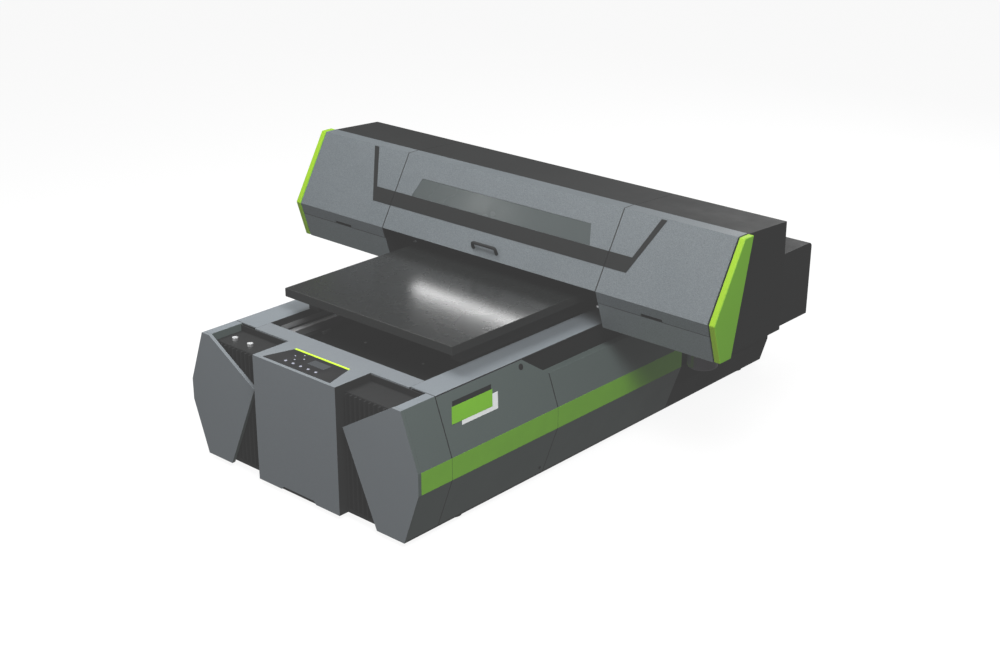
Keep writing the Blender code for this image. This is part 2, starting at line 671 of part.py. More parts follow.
def build_control_panel():
    middle_z = PANEL_LOW_Z + GAP + PANEL_THICK / 2
    panel = outline("control_panel", panel_outline(), PANEL_THICK, (0.0, 0.0, middle_z), "Z", GLOSS_BLACK)
    nav_hole = cylinder("nav_hole", NAV_RADIUS + KEY_CLEARANCE, 0.02, (NAV_X, NAV_Y, middle_z), sides=32)
    cut(panel, nav_hole)
    box("status_light", *light_corners(), LIME_LIGHT)
    key_middle = (KEY_LOW_Z + KEY_HIGH_Z) / 2
    key_height = KEY_HIGH_Z - KEY_LOW_Z
    cylinder("nav_pad", NAV_RADIUS, key_height, (NAV_X, NAV_Y, key_middle), "Z", GLOSS_BLACK, 32)
    for index in range(KEY_COUNT):
        x = KEY_FIRST_X + index * KEY_PITCH
        name = "key_%d" % (index + 1)
        cut(panel, cylinder(name + "_hole", KEY_RADIUS + KEY_CLEARANCE, 0.02, (x, KEY_Y, middle_z), sides=16))
        cylinder(name, KEY_RADIUS, key_height, (x, KEY_Y, key_middle), "Z", PALE_KEY, 16)


def build_corner_plate(name, side):
    points = [
        (PLATE_RIM_X, RIM_Z),
        (PLATE_TIP_X, HEM_Z + PLATE_TIP_HEIGHT),
        (PLATE_HEM_X, HEM_Z),
        (HEM_HALF, HEM_Z),
        (BAND_HALF, HEM_Z + BAND_LOW),
        (BAND_HALF, HEM_Z + BAND_HIGH),
        (RIM_HALF, RIM_Z),
    ]
    points = [(side * x, z) for x, z in points]
    outline(name, points, PLATE_THICK, (0.0, PLATE_Y + PLATE_THICK / 2, 0.0), "Y", GREY_PAINT)


def build_ribs(name, side):
    """Row of upright square ribs that stand forward of the insert's wall."""
    low_z = INSERT_LOW_Z + 0.001
    high_z = RECESS_Z - 0.002
    count = int((INSERT_OUTER_X - INSERT_INNER_X - RIB_WIDTH) / RIB_PITCH)
    size = (RIB_WIDTH, RIB_DEPTH + SHEET / 2, high_z - low_z)
    bm = bmesh.new()
    for index in range(count):
        x = side * (INSERT_INNER_X + RIB_PITCH * (index + 0.6))
        rib = bmesh.ops.create_cube(bm, size=1.0)["verts"]
        bmesh.ops.scale(bm, verts=rib, vec=size)
        bmesh.ops.translate(bm, verts=rib, vec=(x, 0.0, 0.0))
    mesh = bpy.data.meshes.new(name)
    bm.to_mesh(mesh)
    bm.free()
    return add_piece(name, mesh, (0.0, RIB_FRONT_Y + size[1] / 2, (low_z + high_z) / 2), None)


def build_grille(name, side):
    x_low, x_high = span(side, INSERT_INNER_X, INSERT_OUTER_X)
    wall_y = RIB_FRONT_Y + RIB_DEPTH
    back_y = RECESS_BACK_Y - 0.0015
    wall = box(name, (x_low, wall_y, INSERT_LOW_Z), (x_high, wall_y + SHEET, RECESS_Z - 0.001), BLACK_PAINT)
    tray = box(
        name + "_tray",
        (x_low + 0.0002, wall_y + SHEET / 2, RECESS_Z - SHEET),
        (x_high - 0.0002, back_y, RECESS_Z),
    )
    upstand = box(
        name + "_upstand",
        (x_low + 0.0004, back_y - SHEET, RECESS_Z - SHEET / 2),
        (x_high - 0.0004, back_y - 0.0002, RIM_Z - SHEET - 0.0005),
    )
    weld(wall, build_ribs(name + "_ribs", side), tray, upstand)
    if side < 0:
        for x in (POWER_BUTTON_X, STOP_BUTTON_X):
            place = (x, BUTTON_Y, RECESS_Z)
            cut(wall, cylinder("button_hole", BUTTON_RADIUS + BUTTON_CLEARANCE, 0.03, place))


def build_push_buttons():
    for name, x in (("power_button", POWER_BUTTON_X), ("stop_button", STOP_BUTTON_X)):
        place = (x, BUTTON_Y, RECESS_Z)
        cylinder(name, BUTTON_RADIUS, 2 * BUTTON_HALF_HEIGHT, place, "Z", STEEL)


def build_linear_rails():
    low_z = LEDGE_Z + GAP
    for name, side in (("left_linear_rail", -1), ("right_linear_rail", 1)):
        x_low, x_high = span(side, RAIL_X - RAIL_WIDTH / 2, RAIL_X + RAIL_WIDTH / 2)
        box(name, (x_low, RAIL_FRONT_Y, low_z), (x_high, RAIL_BACK_Y, low_z + RAIL_HEIGHT), STEEL)


def build_table_drive():
    """Screw under the trough's floor, with its bearing at the front and its motor at the back."""
    length = SCREW_BACK_Y - SCREW_FRONT_Y
    middle_y = (SCREW_FRONT_Y + SCREW_BACK_Y) / 2
    cylinder("table_screw", SCREW_RADIUS, length, (0.0, middle_y, SCREW_Z), "Y", STEEL)
    hung_z = WELL_FLOOR_Z - SHEET - GAP
    box("screw_motor", (-MOTOR_HALF, SCREW_BACK_Y + GAP, SCREW_Z - MOTOR_HALF),
        (MOTOR_HALF, SCREW_BACK_Y + MOTOR_LENGTH, hung_z), BLACK_PAINT)
    bearing = box("screw_bearing", (-BEARING_HALF, BEARING_BACK_Y - BEARING_LENGTH, SCREW_Z - MOTOR_HALF),
                  (BEARING_HALF, BEARING_BACK_Y, hung_z), ALUMINIUM)
    seat_middle = (0.0, SCREW_FRONT_Y - GAP + BEARING_LENGTH, SCREW_Z)
    seat = cylinder("bearing_seat", SCREW_RADIUS + SCREW_CLEARANCE, 2 * BEARING_LENGTH, seat_middle, "Y")
    cut(bearing, seat)


def build_feet():
    x = CHASSIS_LIP_X + 0.033
    height = CHASSIS_LIP_Z - GAP
    for end, y in (("front", CHASSIS_FRONT_Y + 0.045), ("rear", CHASSIS_BACK_Y - 0.080)):
        for label, side in (("left", -1), ("right", 1)):
            cylinder("%s_%s_foot" % (end, label), FOOT_RADIUS, height, (side * x, y, height / 2), "Z", RUBBER)


def build_lift_columns():
    low_z = RIM_Z + GAP
    for name, side in (("left_lift_column", -1), ("right_lift_column", 1)):
        x_low, x_high = span(side, COLUMN_X - COLUMN_WIDTH / 2, COLUMN_X + COLUMN_WIDTH / 2)
        box(name, (x_low, COLUMN_Y - COLUMN_DEPTH / 2, low_z),
            (x_high, COLUMN_Y + COLUMN_DEPTH / 2, low_z + COLUMN_HEIGHT), ALUMINIUM)


# ---------------------------------------------------------------- table
def build_table():
    low = (-TABLE_HALF, TABLE_FRONT_Y, TABLE_LOW_Z)
    high = (TABLE_HALF, TABLE_FRONT_Y + TABLE_LENGTH, TABLE_LOW_Z + TABLE_THICK)
    top = box("table_top", low, high, GLOSS_BLACK)
    soften(top, 0.0012, 2)
    frame = build_table_frame()
    nut = build_screw_nut()
    carry("table_slide_axis", (0.0, TABLE_MID_Y, SCREW_Z), [top, frame, nut])


def build_rail_block(frame, label, side, middle_y):
    """Weld a bearing block to the frame and groove it to ride on its rail."""
    groove_half = RAIL_WIDTH / 2 + RAIL_CLEARANCE
    x_low, x_high = span(side, RAIL_X - RAIL_WIDTH / 2 - BLOCK_GRIP, RAIL_X + RAIL_WIDTH / 2 + BLOCK_GRIP)
    block = box(label, (x_low, middle_y - BLOCK_HALF, LEDGE_Z + 0.005),
                (x_high, middle_y + BLOCK_HALF, BEARER_LOW_Z + 0.002))
    x_low, x_high = span(side, RAIL_X - groove_half, RAIL_X + groove_half)
    groove = box(label + "_groove", (x_low, middle_y - BLOCK_HALF - 0.01, LEDGE_Z - 0.01),
                 (x_high, middle_y + BLOCK_HALF + 0.01, LEDGE_Z + GAP + RAIL_HEIGHT + RAIL_CLEARANCE))
    weld(frame, block)
    cut(frame, groove)


def build_table_frame():
    """Two bearers under the table's sides, joined by three braces, on four rail blocks."""
    top_z = TABLE_LOW_Z - GAP
    front = TABLE_FRONT_Y + FRAME_MARGIN
    back = TABLE_FRONT_Y + TABLE_LENGTH - FRAME_MARGIN
    x_low, x_high = span(-1, BEARER_INNER_X, BEARER_OUTER_X)
    frame = box("table_frame", (x_low, front, BEARER_LOW_Z), (x_high, back, top_z), BLACK_PAINT)
    x_low, x_high = span(1, BEARER_INNER_X, BEARER_OUTER_X)
    weld(frame, box("right_bearer", (x_low, front, BEARER_LOW_Z), (x_high, back, top_z)))
    for index, y in enumerate((front + BRACE_HALF + 0.015, TABLE_MID_Y, back - BRACE_HALF - 0.015)):
        brace_low = (-RAIL_X, y - BRACE_HALF, BRACE_LOW_Z)
        weld(frame, box("brace_%d" % index, brace_low, (RAIL_X, y + BRACE_HALF, top_z - 0.001)))
    for label, side in (("left", -1), ("right", 1)):
        build_rail_block(frame, label + "_front_block", side, TABLE_MID_Y - BLOCK_SPREAD)
        build_rail_block(frame, label + "_back_block", side, TABLE_MID_Y + BLOCK_SPREAD)
    return frame


def build_screw_nut():
    nut = box("screw_nut", (-NUT_HALF_WIDTH, TABLE_MID_Y - NUT_HALF_LENGTH, SCREW_Z - NUT_HALF_HEIGHT),
              (NUT_HALF_WIDTH, TABLE_MID_Y + NUT_HALF_LENGTH, SCREW_Z + NUT_HALF_HEIGHT), ALUMINIUM)
    neck = box("nut_neck", (-NECK_HALF_WIDTH, TABLE_MID_Y - NECK_HALF_LENGTH, SCREW_Z + SCREW_RADIUS + 0.004),
               (NECK_HALF_WIDTH, TABLE_MID_Y + NECK_HALF_LENGTH, BRACE_LOW_Z - GAP))
    bore = cylinder("nut_bore", SCREW_RADIUS + SCREW_CLEARANCE, 0.1, (0.0, TABLE_MID_Y, SCREW_Z), "Y")
    weld(nut, neck)
    cut(nut, bore)
    return nut


# ---------------------------------------------------------------- gantry
def undercut_y(z):
    """Y of the face that runs from the nose back to the underside, at a height."""
    return NOSE_Y + (NOSE_Z - z) * NOSE_TO_UNDERSIDE / NOSE_HEIGHT


def build_beam():
    """Box beam across the gantry, with two sleeves behind it that slide on the lift columns."""
    corners = [
        (BEAM_FRONT_Y, BEAM_LOW_Z),
        (BEAM_BACK_Y, BEAM_LOW_Z),
        (BEAM_BACK_Y, BEAM_HIGH_Z),
        (BEAM_FRONT_Y, BEAM_HIGH_Z),
    ]
    inner = [
        (BEAM_FRONT_Y + BEAM_WALL, BEAM_LOW_Z + BEAM_WALL),
        (BEAM_BACK_Y - BEAM_WALL, BEAM_LOW_Z + BEAM_WALL),
        (BEAM_BACK_Y - BEAM_WALL, BEAM_HIGH_Z - BEAM_WALL),
        (BEAM_FRONT_Y + BEAM_WALL, BEAM_HIGH_Z - BEAM_WALL),
    ]
    length = 2 * (HOUSING_X - SHEET - 0.001)
    beam = outline("gantry_beam", corners, length, (0.0, 0.0, 0.0), "X", ALUMINIUM, holes=[inner])
    half_x = COLUMN_WIDTH / 2 + SLEEVE_CLEARANCE
    half_y = COLUMN_DEPTH / 2 + SLEEVE_CLEARANCE
    for label, side in (("left", -1), ("right", 1)):
        x = side * COLUMN_X
        sleeve = box(
            label + "_sleeve",
            (x - half_x - SLEEVE_WALL, BEAM_BACK_Y - 0.002, BEAM_LOW_Z),
            (x + half_x + SLEEVE_WALL, COLUMN_Y + half_y + SLEEVE_WALL, BEAM_HIGH_Z),
        )
        shaft = box(
            label + "_shaft",
            (x - half_x, COLUMN_Y - half_y, BEAM_LOW_Z - 0.01),
            (x + half_x, COLUMN_Y + half_y, BEAM_HIGH_Z + 0.01),
        )
        weld(beam, sleeve)
        cut(beam, shaft)
    return beam


def build_x_rail():
    half = HOUSING_X - X_RAIL_INSET
    return box("x_rail", (-half, X_RAIL_FRONT_Y, X_RAIL_LOW_Z),
               (half, BEAM_FRONT_Y - GAP, X_RAIL_LOW_Z + X_RAIL_HEIGHT), STEEL)


def build_end_cap(name, side):
    points = [
        (UNDER_FRONT_Y, UNDER_Z),
        (NOSE_Y, NOSE_Z),
        (CROWN_FRONT_Y, CROWN_Z),
        (HINGE_Y, CROWN_Z),
        (NOSE_Y + CAP_FOOT_DEPTH, UNDER_Z),
    ]
    x = side * (GANTRY_HALF - CAP_THICK / 2)
    cap = outline(name, points, CAP_THICK, (x, 0.0, 0.0), "X", LIME_PLASTIC)
    soften(cap, 0.0025, 2)
    return cap


def build_side_housing(name, side):
    """Black shell of one overhang: roof, rear wall, end wall, floor and a low inner cheek."""
    inset = 0.006
    roof_y = HINGE_Y + 0.002
    floor_z = HOUSING_FLOOR_Z
    roof_back_z = CROWN_Z - HOUSING_DROP
    points = [
        (roof_y, HOUSING_TOP_Z),
        (HOUSING_BACK_Y, roof_back_z),
        (HOUSING_BACK_Y, floor_z),
        (UNDER_FRONT_Y + inset, floor_z),
        (NOSE_Y + inset, NOSE_Z),
        (CROWN_FRONT_Y + inset, CROWN_Z - 0.003),
        (roof_y - 0.001, CROWN_Z - 0.0035),
    ]
    width = HOUSING_X - HOUSING_INNER_X
    x = side * (HOUSING_INNER_X + HOUSING_X) / 2
    shell = outline(name, points, width, (x, 0.0, 0.0), "X", BLACK_PAINT)
    ahead_y = NOSE_Y - 0.1
    hollow_points = [
        (ahead_y, floor_z + SHEET),
        (HOUSING_BACK_Y - SHEET, floor_z + SHEET),
        (HOUSING_BACK_Y - SHEET, roof_back_z - SHEET),
        (roof_y + 0.0005, HOUSING_TOP_Z - SHEET),
        (roof_y - 0.0005, CROWN_Z + 0.05),
        (ahead_y, CROWN_Z + 0.05),
    ]
    hollow_width = width - 2 * SHEET
    cut(shell, outline(name + "_hollow", hollow_points, hollow_width, (x, 0.0, 0.0), "X"))
    x_low, x_high = span(side, HOUSING_INNER_X - 0.01, HOUSING_INNER_X + 2 * SHEET)
    doorway = box(name + "_doorway", (x_low, ahead_y, CHEEK_TOP_Z),
                  (x_high, HOUSING_BACK_Y - SHEET, roof_back_z - SHEET - 0.0005))
    doorway_front = box(name + "_doorway_front", (x_low, ahead_y, CHEEK_TOP_Z),
                        (x_high, roof_y - 0.0005, CROWN_Z + 0.05))
    cut(shell, doorway, doorway_front)
    return shell


def build_centre_housing():
    roof_y = HINGE_Y + 0.002
    profile = [
        (HOUSING_BACK_Y, HEAD_LOW_Z),
        (HOUSING_BACK_Y, CROWN_Z - HOUSING_DROP),
        (roof_y, HOUSING_TOP_Z),
    ]
    half = COVER_SPLIT_X - SEAM / 2
    return folded_sheet("centre_rear_housing", profile, -half, 2 * half, "X", BLACK_PAINT)


def build_lower_panel(name, side):
    high_z = COVER_SEAM_Z - SEAM / 2
    profile = [(undercut_y(high_z), high_z), (UNDER_FRONT_Y, UNDER_Z)]
    x_low, x_high = span(side, COVER_SPLIT_X + 0.002, COVER_END_X)
    return folded_sheet(name, profile, x_low, x_high - x_low, "X", GREY_PAINT)


def build_side_cover(name, side):
    """Sloping cover over one overhang, with a finger slot in its lower edge."""
    low_z = COVER_SEAM_Z + SEAM / 2
    profile = [
        (HINGE_Y, CROWN_Z),
        (CROWN_FRONT_Y, CROWN_Z),
        (NOSE_Y, NOSE_Z),
        (undercut_y(low_z), low_z),
    ]
    x_low, x_high = span(side, COVER_SPLIT_X + SEAM / 2, COVER_END_X)
    cover = folded_sheet(name, profile, x_low, x_high - x_low, "X", GREY_PAINT)
    x = side * FINGER_SLOT_X
    y = undercut_y(low_z)
    slot = box(name + "_slot", (x - FINGER_SLOT_HALF, y - 0.02, low_z - 0.01),
               (x + FINGER_SLOT_HALF, y + 0.02, low_z + FINGER_SLOT_HEIGHT))
    cut(cover, slot)
    return cover


def window_outline(grow=0.0):
    return [
        (-WINDOW_LOW_HALF - grow, WINDOW_LOW - grow),
        (WINDOW_LOW_HALF + grow, WINDOW_LOW - grow),
        (WINDOW_TOP_HALF + grow, WINDOW_HIGH + grow),
        (-WINDOW_TOP_HALF - grow, WINDOW_HIGH + grow),
    ]


def build_centre_cover():
    profile = [
        (HINGE_Y, CROWN_Z),
        (CROWN_FRONT_Y, CROWN_Z),
        (NOSE_Y, NOSE_Z),
        (NOSE_Y + NOSE_HEM, NOSE_Z),
    ]
    half = COVER_SPLIT_X - SEAM / 2
    cover = folded_sheet("centre_front_cover", profile, -half, 2 * half, "X", GREY_PAINT)
    opening = outline("window_opening", window_outline(GAP), 0.03, (0.0, NOSE_Y, NOSE_Z), "Z")
    opening.rotation_euler = (SLOPE_ANGLE, 0.0, 0.0)
    cut(cover, opening)
    y, z = on_slope(0.0, -WINDOW_THICK / 2 - 0.0004)
    window = outline("window", window_outline(), WINDOW_THICK - 0.0008, (0.0, y, z), "Z", SMOKED_GLASS)
    window.rotation_euler = (SLOPE_ANGLE, 0.0, 0.0)
    return cover, window


def build_handle():
    """Bridge handle: a bar on two legs that lean up the slope, swept as one round tube."""
    leg_x = HANDLE_LENGTH / 2 - HANDLE_RADIUS
    lean = HANDLE_RISE / (HANDLE_STANDOFF - HANDLE_FOOT)
    path = [(-leg_x, GAP), (-leg_x, HANDLE_FOOT)]
    for across, down in quarter_turn(HANDLE_BEND):
        path.append((-leg_x + across, HANDLE_STANDOFF - down))
    path += [(-x, height) for x, height in reversed(path)]
    curve = bpy.data.curves.new("handle", "CURVE")
    curve.dimensions = "3D"
    curve.bevel_depth = HANDLE_RADIUS
    curve.bevel_resolution = 2
    curve.use_fill_caps = True
    spline = curve.splines.new("POLY")
    spline.points.add(len(path) - 1)
    for point, (x, height) in zip(spline.points, path):
        point.co = (x, lean * max(height - HANDLE_FOOT, 0.0), height, 1.0)
    handle = bpy.data.objects.new("handle", curve)
    MACHINE.objects.link(handle)
    y, z = on_slope(HANDLE_RUN)
    handle.location = (0.0, y, z)
    handle.rotation_euler = (SLOPE_ANGLE, 0.0, 0.0)
    paint(handle, BLACK_PAINT)
    return handle


def build_ink_cabinet():
    """Ink cabinet behind the right overhang, open towards the housing."""
    low_z = UNDER_Z + CABINET_RAISE
    high_z = low_z + CABINET_HEIGHT
    front_y = HOUSING_BACK_Y + GAP
    back_y = HOUSING_BACK_Y + CABINET_DEPTH
    points = [(front_y, high_z), (front_y, low_z), (back_y - SHEET, low_z)]
    points += [(back_y - across, high_z - down) for across, down in quarter_turn(CABINET_CORNER)]
    middle_x = (HOUSING_INNER_X + HOUSING_X) / 2
    width = HOUSING_X - HOUSING_INNER_X
    cabinet = outline("ink_cabinet", points, width, (middle_x, 0.0, 0.0), "X", BLACK_PAINT)
    hollow = box(
        "cabinet_hollow",
        (HOUSING_INNER_X + SHEET, front_y - 0.01, low_z + SHEET),
        (HOUSING_X - SHEET, back_y - 2 * SHEET, high_z - SHEET),
    )
    cut(cabinet, hollow)
    return cabinet


def build_waste_bottle():
    """Turned bottle that hangs under the right overhang."""
    profile = [(0.0, 0.0), (BOTTLE_RADIUS, 0.0)]
    for across, up in quarter_turn(BOTTLE_SHOULDER):
        profile.append((BOTTLE_RADIUS - across, up - BOTTLE_HEIGHT))
    profile.append((0.0, -BOTTLE_HEIGHT))
    bm = bmesh.new()
    verts = [bm.verts.new((r, 0.0, z)) for r, z in profile]
    for pair in zip(verts, verts[1:]):
        bm.edges.new(pair)
    mesh = bpy.data.meshes.new("waste_bottle")
    bm.to_mesh(mesh)
    bm.free()
    place = (HOUSING_X - BOTTLE_INSET, NOSE_Y + BOTTLE_SETBACK, HOUSING_FLOOR_Z - GAP)
    bottle = add_piece("waste_bottle", mesh, place, SMOKED_GLASS)
    turn = bottle.modifiers.new("turned", "SCREW")
    turn.steps = 28
    turn.render_steps = 28
    turn.use_merge_vertices = True
    turn.merge_threshold = 0.0001
    turn.use_smooth_shade = True
    return bottle


def build_capping_station():
    """Soft cup that seals the print head where the carriage parks."""
    low_z = HOUSING_FLOOR_Z + SHEET + GAP
    top_z = HEAD_LOW_Z - 0.001
    station = box("capping_station", (PARK_X - CAPPING_HALF_X, HEAD_Y - CAPPING_HALF_Y, low_z),
                  (PARK_X + CAPPING_HALF_X, HEAD_Y + CAPPING_HALF_Y, top_z), RUBBER)
    cup_half_x = CAPPING_HALF_X - CAPPING_WALL
    cup_half_y = CAPPING_HALF_Y - CAPPING_WALL
    cup = box("capping_cup", (PARK_X - cup_half_x, HEAD_Y - cup_half_y, top_z - CAPPING_DEPTH),
              (PARK_X + cup_half_x, HEAD_Y + cup_half_y, top_z + 0.01))
    cut(station, cup)
    return station


def build_carriage():
    """Print carriage at its parked place, with the head and a curing lamp."""
    low_z = HEAD_LOW_Z + HEAD_HEIGHT
    high_z = BEAM_HIGH_Z - 0.010
    front_y = NOSE_Y + CARRIAGE_SETBACK
    back_y = X_RAIL_FRONT_Y - CARRIAGE_CLEARANCE
    points = [
        (front_y, low_z),
        (back_y, low_z),
        (back_y, high_z),
        (front_y + 0.025, high_z),
        (front_y, high_z - 0.04),
    ]
    carriage = outline("print_carriage", points, CARRIAGE_WIDTH, (PARK_X, 0.0, 0.0), "X", BLACK_PAINT)
    head = box("print_head", (PARK_X - HEAD_HALF_X, HEAD_Y - HEAD_HALF_Y, HEAD_LOW_Z),
               (PARK_X + HEAD_HALF_X, HEAD_Y + HEAD_HALF_Y, low_z - GAP), STEEL)
    lamp_x = PARK_X - CARRIAGE_WIDTH / 2 - GAP
    lamp_z = HEAD_LOW_Z + LAMP_RAISE
    lamp = box("curing_lamp", (lamp_x - LAMP_WIDTH, HEAD_Y - LAMP_HALF_Y, lamp_z),
               (lamp_x, HEAD_Y + LAMP_HALF_Y, lamp_z + LAMP_HEIGHT), ALUMINIUM)
    return carry("carriage_slide_axis", (PARK_X, front_y, low_z), [carriage, head, lamp])


def build_gantry():
    pieces = [build_beam(), build_x_rail(), build_centre_housing(), build_ink_cabinet(), build_waste_bottle(),
              build_capping_station(), build_carriage()]
    hinge = (0.0, HINGE_Y, CROWN_Z)
    for label, side in (("left", -1), ("right", 1)):
        pieces.append(build_end_cap(label + "_end_cap", side))
        pieces.append(build_side_housing(label + "_rear_housing", side))
        pieces.append(build_lower_panel(label + "_lower_panel", side))
        cover = build_side_cover(label + "_front_cover", side)
        pieces.append(carry(label + "_cover_hinge", hinge, [cover]))
    cover, window = build_centre_cover()
    pieces.append(carry("centre_cover_hinge", hinge, [cover, window, build_handle()]))
    carry("gantry_lift_axis", (0.0, COLUMN_Y, UNDER_Z), pieces)


def build_base():
    build_chassis()
    build_well_floor()
    build_rear_skirt()
    build_front_console()
    build_control_panel()
    build_push_buttons()
    build_linear_rails()
    build_table_drive()
    build_feet()
    build_lift_columns()
    for label, side in (("left", -1), ("right", 1)):
        build_top_rail(label + "_top_rail", side)
        build_front_side(label + "_front_side", side)
        build_middle_side(label + "_middle_side", side)
        build_rear_side(label + "_rear_side", side)
        build_corner_plate(label + "_corner_plate", side)
        build_grille(label + "_grille", side)


build_base()
build_table()
build_gantry()
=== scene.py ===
"""Looks of the flatbed UV printer: materials, small fittings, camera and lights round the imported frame."""
import json
import math

import bmesh
import bpy
from mathutils import Matrix, Vector


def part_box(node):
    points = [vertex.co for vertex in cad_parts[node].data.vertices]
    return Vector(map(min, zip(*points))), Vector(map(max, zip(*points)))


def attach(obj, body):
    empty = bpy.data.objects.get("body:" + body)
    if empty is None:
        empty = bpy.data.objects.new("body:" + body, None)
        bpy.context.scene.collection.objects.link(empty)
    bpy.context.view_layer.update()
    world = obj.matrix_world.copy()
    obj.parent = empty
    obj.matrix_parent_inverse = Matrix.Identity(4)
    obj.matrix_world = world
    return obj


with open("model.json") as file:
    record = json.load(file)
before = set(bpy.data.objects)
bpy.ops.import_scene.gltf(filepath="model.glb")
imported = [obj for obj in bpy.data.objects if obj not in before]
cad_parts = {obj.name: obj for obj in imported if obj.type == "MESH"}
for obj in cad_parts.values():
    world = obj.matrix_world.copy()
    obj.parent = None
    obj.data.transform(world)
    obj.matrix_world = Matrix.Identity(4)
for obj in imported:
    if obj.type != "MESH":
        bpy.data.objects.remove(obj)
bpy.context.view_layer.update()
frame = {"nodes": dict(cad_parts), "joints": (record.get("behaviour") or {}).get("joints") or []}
NODES = frame["nodes"]

# ------------------------------------------------------------ places read from the frame
CONSOLE_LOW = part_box("front_console")[0]
PANEL_LOW, PANEL_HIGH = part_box("control_panel")
NAV_LOW, NAV_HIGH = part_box("nav_pad")
WELL_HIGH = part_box("well_floor")[1]
RAIL_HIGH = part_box("left_linear_rail")[1]
COVER_LOW, COVER_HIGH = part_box("centre_front_cover")
SIDE_COVER_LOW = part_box("right_front_cover")[0]
FRONT_SIDE_LOW, FRONT_SIDE_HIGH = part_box("right_front_side")
MIDDLE_LOW, MIDDLE_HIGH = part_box("right_middle_side")
REAR_SIDE_LOW, REAR_SIDE_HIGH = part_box("right_rear_side")
RIM_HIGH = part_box("right_top_rail")[1]
SKIRT_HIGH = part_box("rear_skirt")[1]
HINGE = next(joint for joint in frame["joints"] if joint["name"] == "centre_cover_hinge")["pos_m"]

RIM_Z = float(RIM_HIGH[2])
HEM_Z = float(FRONT_SIDE_LOW[2])
BAND_X = float(FRONT_SIDE_HIGH[0])
RIM_X = float(RIM_HIGH[0])
NOSE_Y = float(COVER_LOW[1])
NOSE_Z = float(COVER_LOW[2])
CROWN_Z = float(COVER_HIGH[2])
CROWN_WIDTH = 0.0387            # flat top of the covers, from its front fold to the hinge
CROWN_FRONT_Y = HINGE[1] - CROWN_WIDTH
SLOPE = math.atan2(CROWN_Z - NOSE_Z, CROWN_FRONT_Y - NOSE_Y)
SPLIT_X = float(SIDE_COVER_LOW[0]) - 0.0006             # middle of the seam between two covers

# ------------------------------------------------------------ sizes of the added pieces
SIDES = (("left", -1), ("right", 1))
SKIN = 0.0003                   # clearance under a piece laid on a panel
FILM = 0.0005                   # thickness of decals and inlays
THIN_FILM = 0.0004              # the green band and the display's glass
LABEL_LEAN = 0.37               # slant of the rating label's sides, against the facet's own
BAND_LOW_Z = HEM_Z + 0.1455     # green band, from the hem
BAND_HIGH_Z = HEM_Z + 0.2046
HEM_X = float(SKIRT_HIGH[0]) - 0.0225                   # hem's half width
SEAM_SHADE_HALF_WIDTH = 0.0016              # half the width of the painted shade round a seam
HEM_SHADE_HALF_WIDTH = 0.0060               # painted shade along the hem
# softness of the painted shade lines' edges
SHADE_LINE_BLUR = 0.0002


# ------------------------------------------------------------ materials
# Black of the black paints and films; also the colour of painted shade in the seams, on the rims' faces into
# the trough and, lifted a little, on the console's flanks
DARK = (0.0060, 0.0066, 0.0066)
PLATE_BLACK = (0.0060, 0.0070, 0.0068)
PLATE_FLECK = (0.050, 0.056, 0.053)
# Flanks' green-grey paint; also the painted shade on the corner plates' sideways edges
FLANK_PAINT_AND_PLATE_EDGE_SHADE = (0.085, 0.110, 0.104)
SOFT_SPECULAR = 0.18            # dull black paint, plastic and film


def shader_of(material):
    return material.node_tree.nodes["Principled BSDF"]


def new_material(name, colour, roughness, metallic=0.0, coat=0.0, specular=0.5):
    material = bpy.data.materials.new(name)
    material.use_nodes = True
    shader = shader_of(material)
    shader.inputs["Base Color"].default_value = (*colour, 1.0)
    shader.inputs["Roughness"].default_value = roughness
    shader.inputs["Metallic"].default_value = metallic
    shader.inputs["Coat Weight"].default_value = coat
    shader.inputs["Specular IOR Level"].default_value = specular
    return material


def object_coordinates(material, stretch=(1.0, 1.0, 1.0)):
    nodes = material.node_tree.nodes
    links = material.node_tree.links
    where = nodes.new("ShaderNodeTexCoord")
    scale = nodes.new("ShaderNodeMapping")
    scale.inputs["Scale"].default_value = stretch
    links.new(where.outputs["Object"], scale.inputs["Vector"])
    return scale.outputs["Vector"]


def noise(material, size, detail=3.0, stretch=(1.0, 1.0, 1.0)):
    """Noise whose lumps are about size metres across."""
    texture = material.node_tree.nodes.new("ShaderNodeTexNoise")
    texture.inputs["Scale"].default_value = 1.0 / size
    texture.inputs["Detail"].default_value = detail
    material.node_tree.links.new(object_coordinates(material, stretch), texture.inputs["Vector"])
    return texture.outputs["Fac"]


def ramp(material, value, low, high, low_out, high_out):
    """Map a value to a range of numbers."""
    mapped = material.node_tree.nodes.new("ShaderNodeMapRange")
    mapped.inputs["From Min"].default_value = low
    mapped.inputs["From Max"].default_value = high
    mapped.inputs["To Min"].default_value = low_out
    mapped.inputs["To Max"].default_value = high_out
    material.node_tree.links.new(value, mapped.inputs["Value"])
    return mapped.outputs["Result"]


def blend_colours(material, factor, first, second):
    mix = material.node_tree.nodes.new("ShaderNodeMix")
    mix.data_type = "RGBA"
    mix.inputs["A"].default_value = (*first, 1.0)
    mix.inputs["B"].default_value = (*second, 1.0)
    material.node_tree.links.new(factor, mix.inputs["Factor"])
    return mix.outputs["Result"]


def bump(material, height, distance, strength=1.0):
    node = material.node_tree.nodes.new("ShaderNodeBump")
    node.inputs["Distance"].default_value = distance
    node.inputs["Strength"].default_value = strength
    material.node_tree.links.new(height, node.inputs["Height"])
    material.node_tree.links.new(node.outputs["Normal"], shader_of(material).inputs["Normal"])


def calculation(material, operation, first, second=0.0):
    """Arithmetic on a socket and a number, or on two sockets."""
    node = material.node_tree.nodes.new("ShaderNodeMath")
    node.operation = operation
    material.node_tree.links.new(first, node.inputs[0])
    if isinstance(second, bpy.types.NodeSocket):
        material.node_tree.links.new(second, node.inputs[1])
    else:
        node.inputs[1].default_value = second
    return node.outputs["Value"]


def part_of(material, vector, axis):
    split = material.node_tree.nodes.new("ShaderNodeSeparateXYZ")
    material.node_tree.links.new(vector, split.inputs["Vector"])
    return split.outputs[axis]


def true_normal(material):
    return material.node_tree.nodes.new("ShaderNodeNewGeometry").outputs["True Normal"]


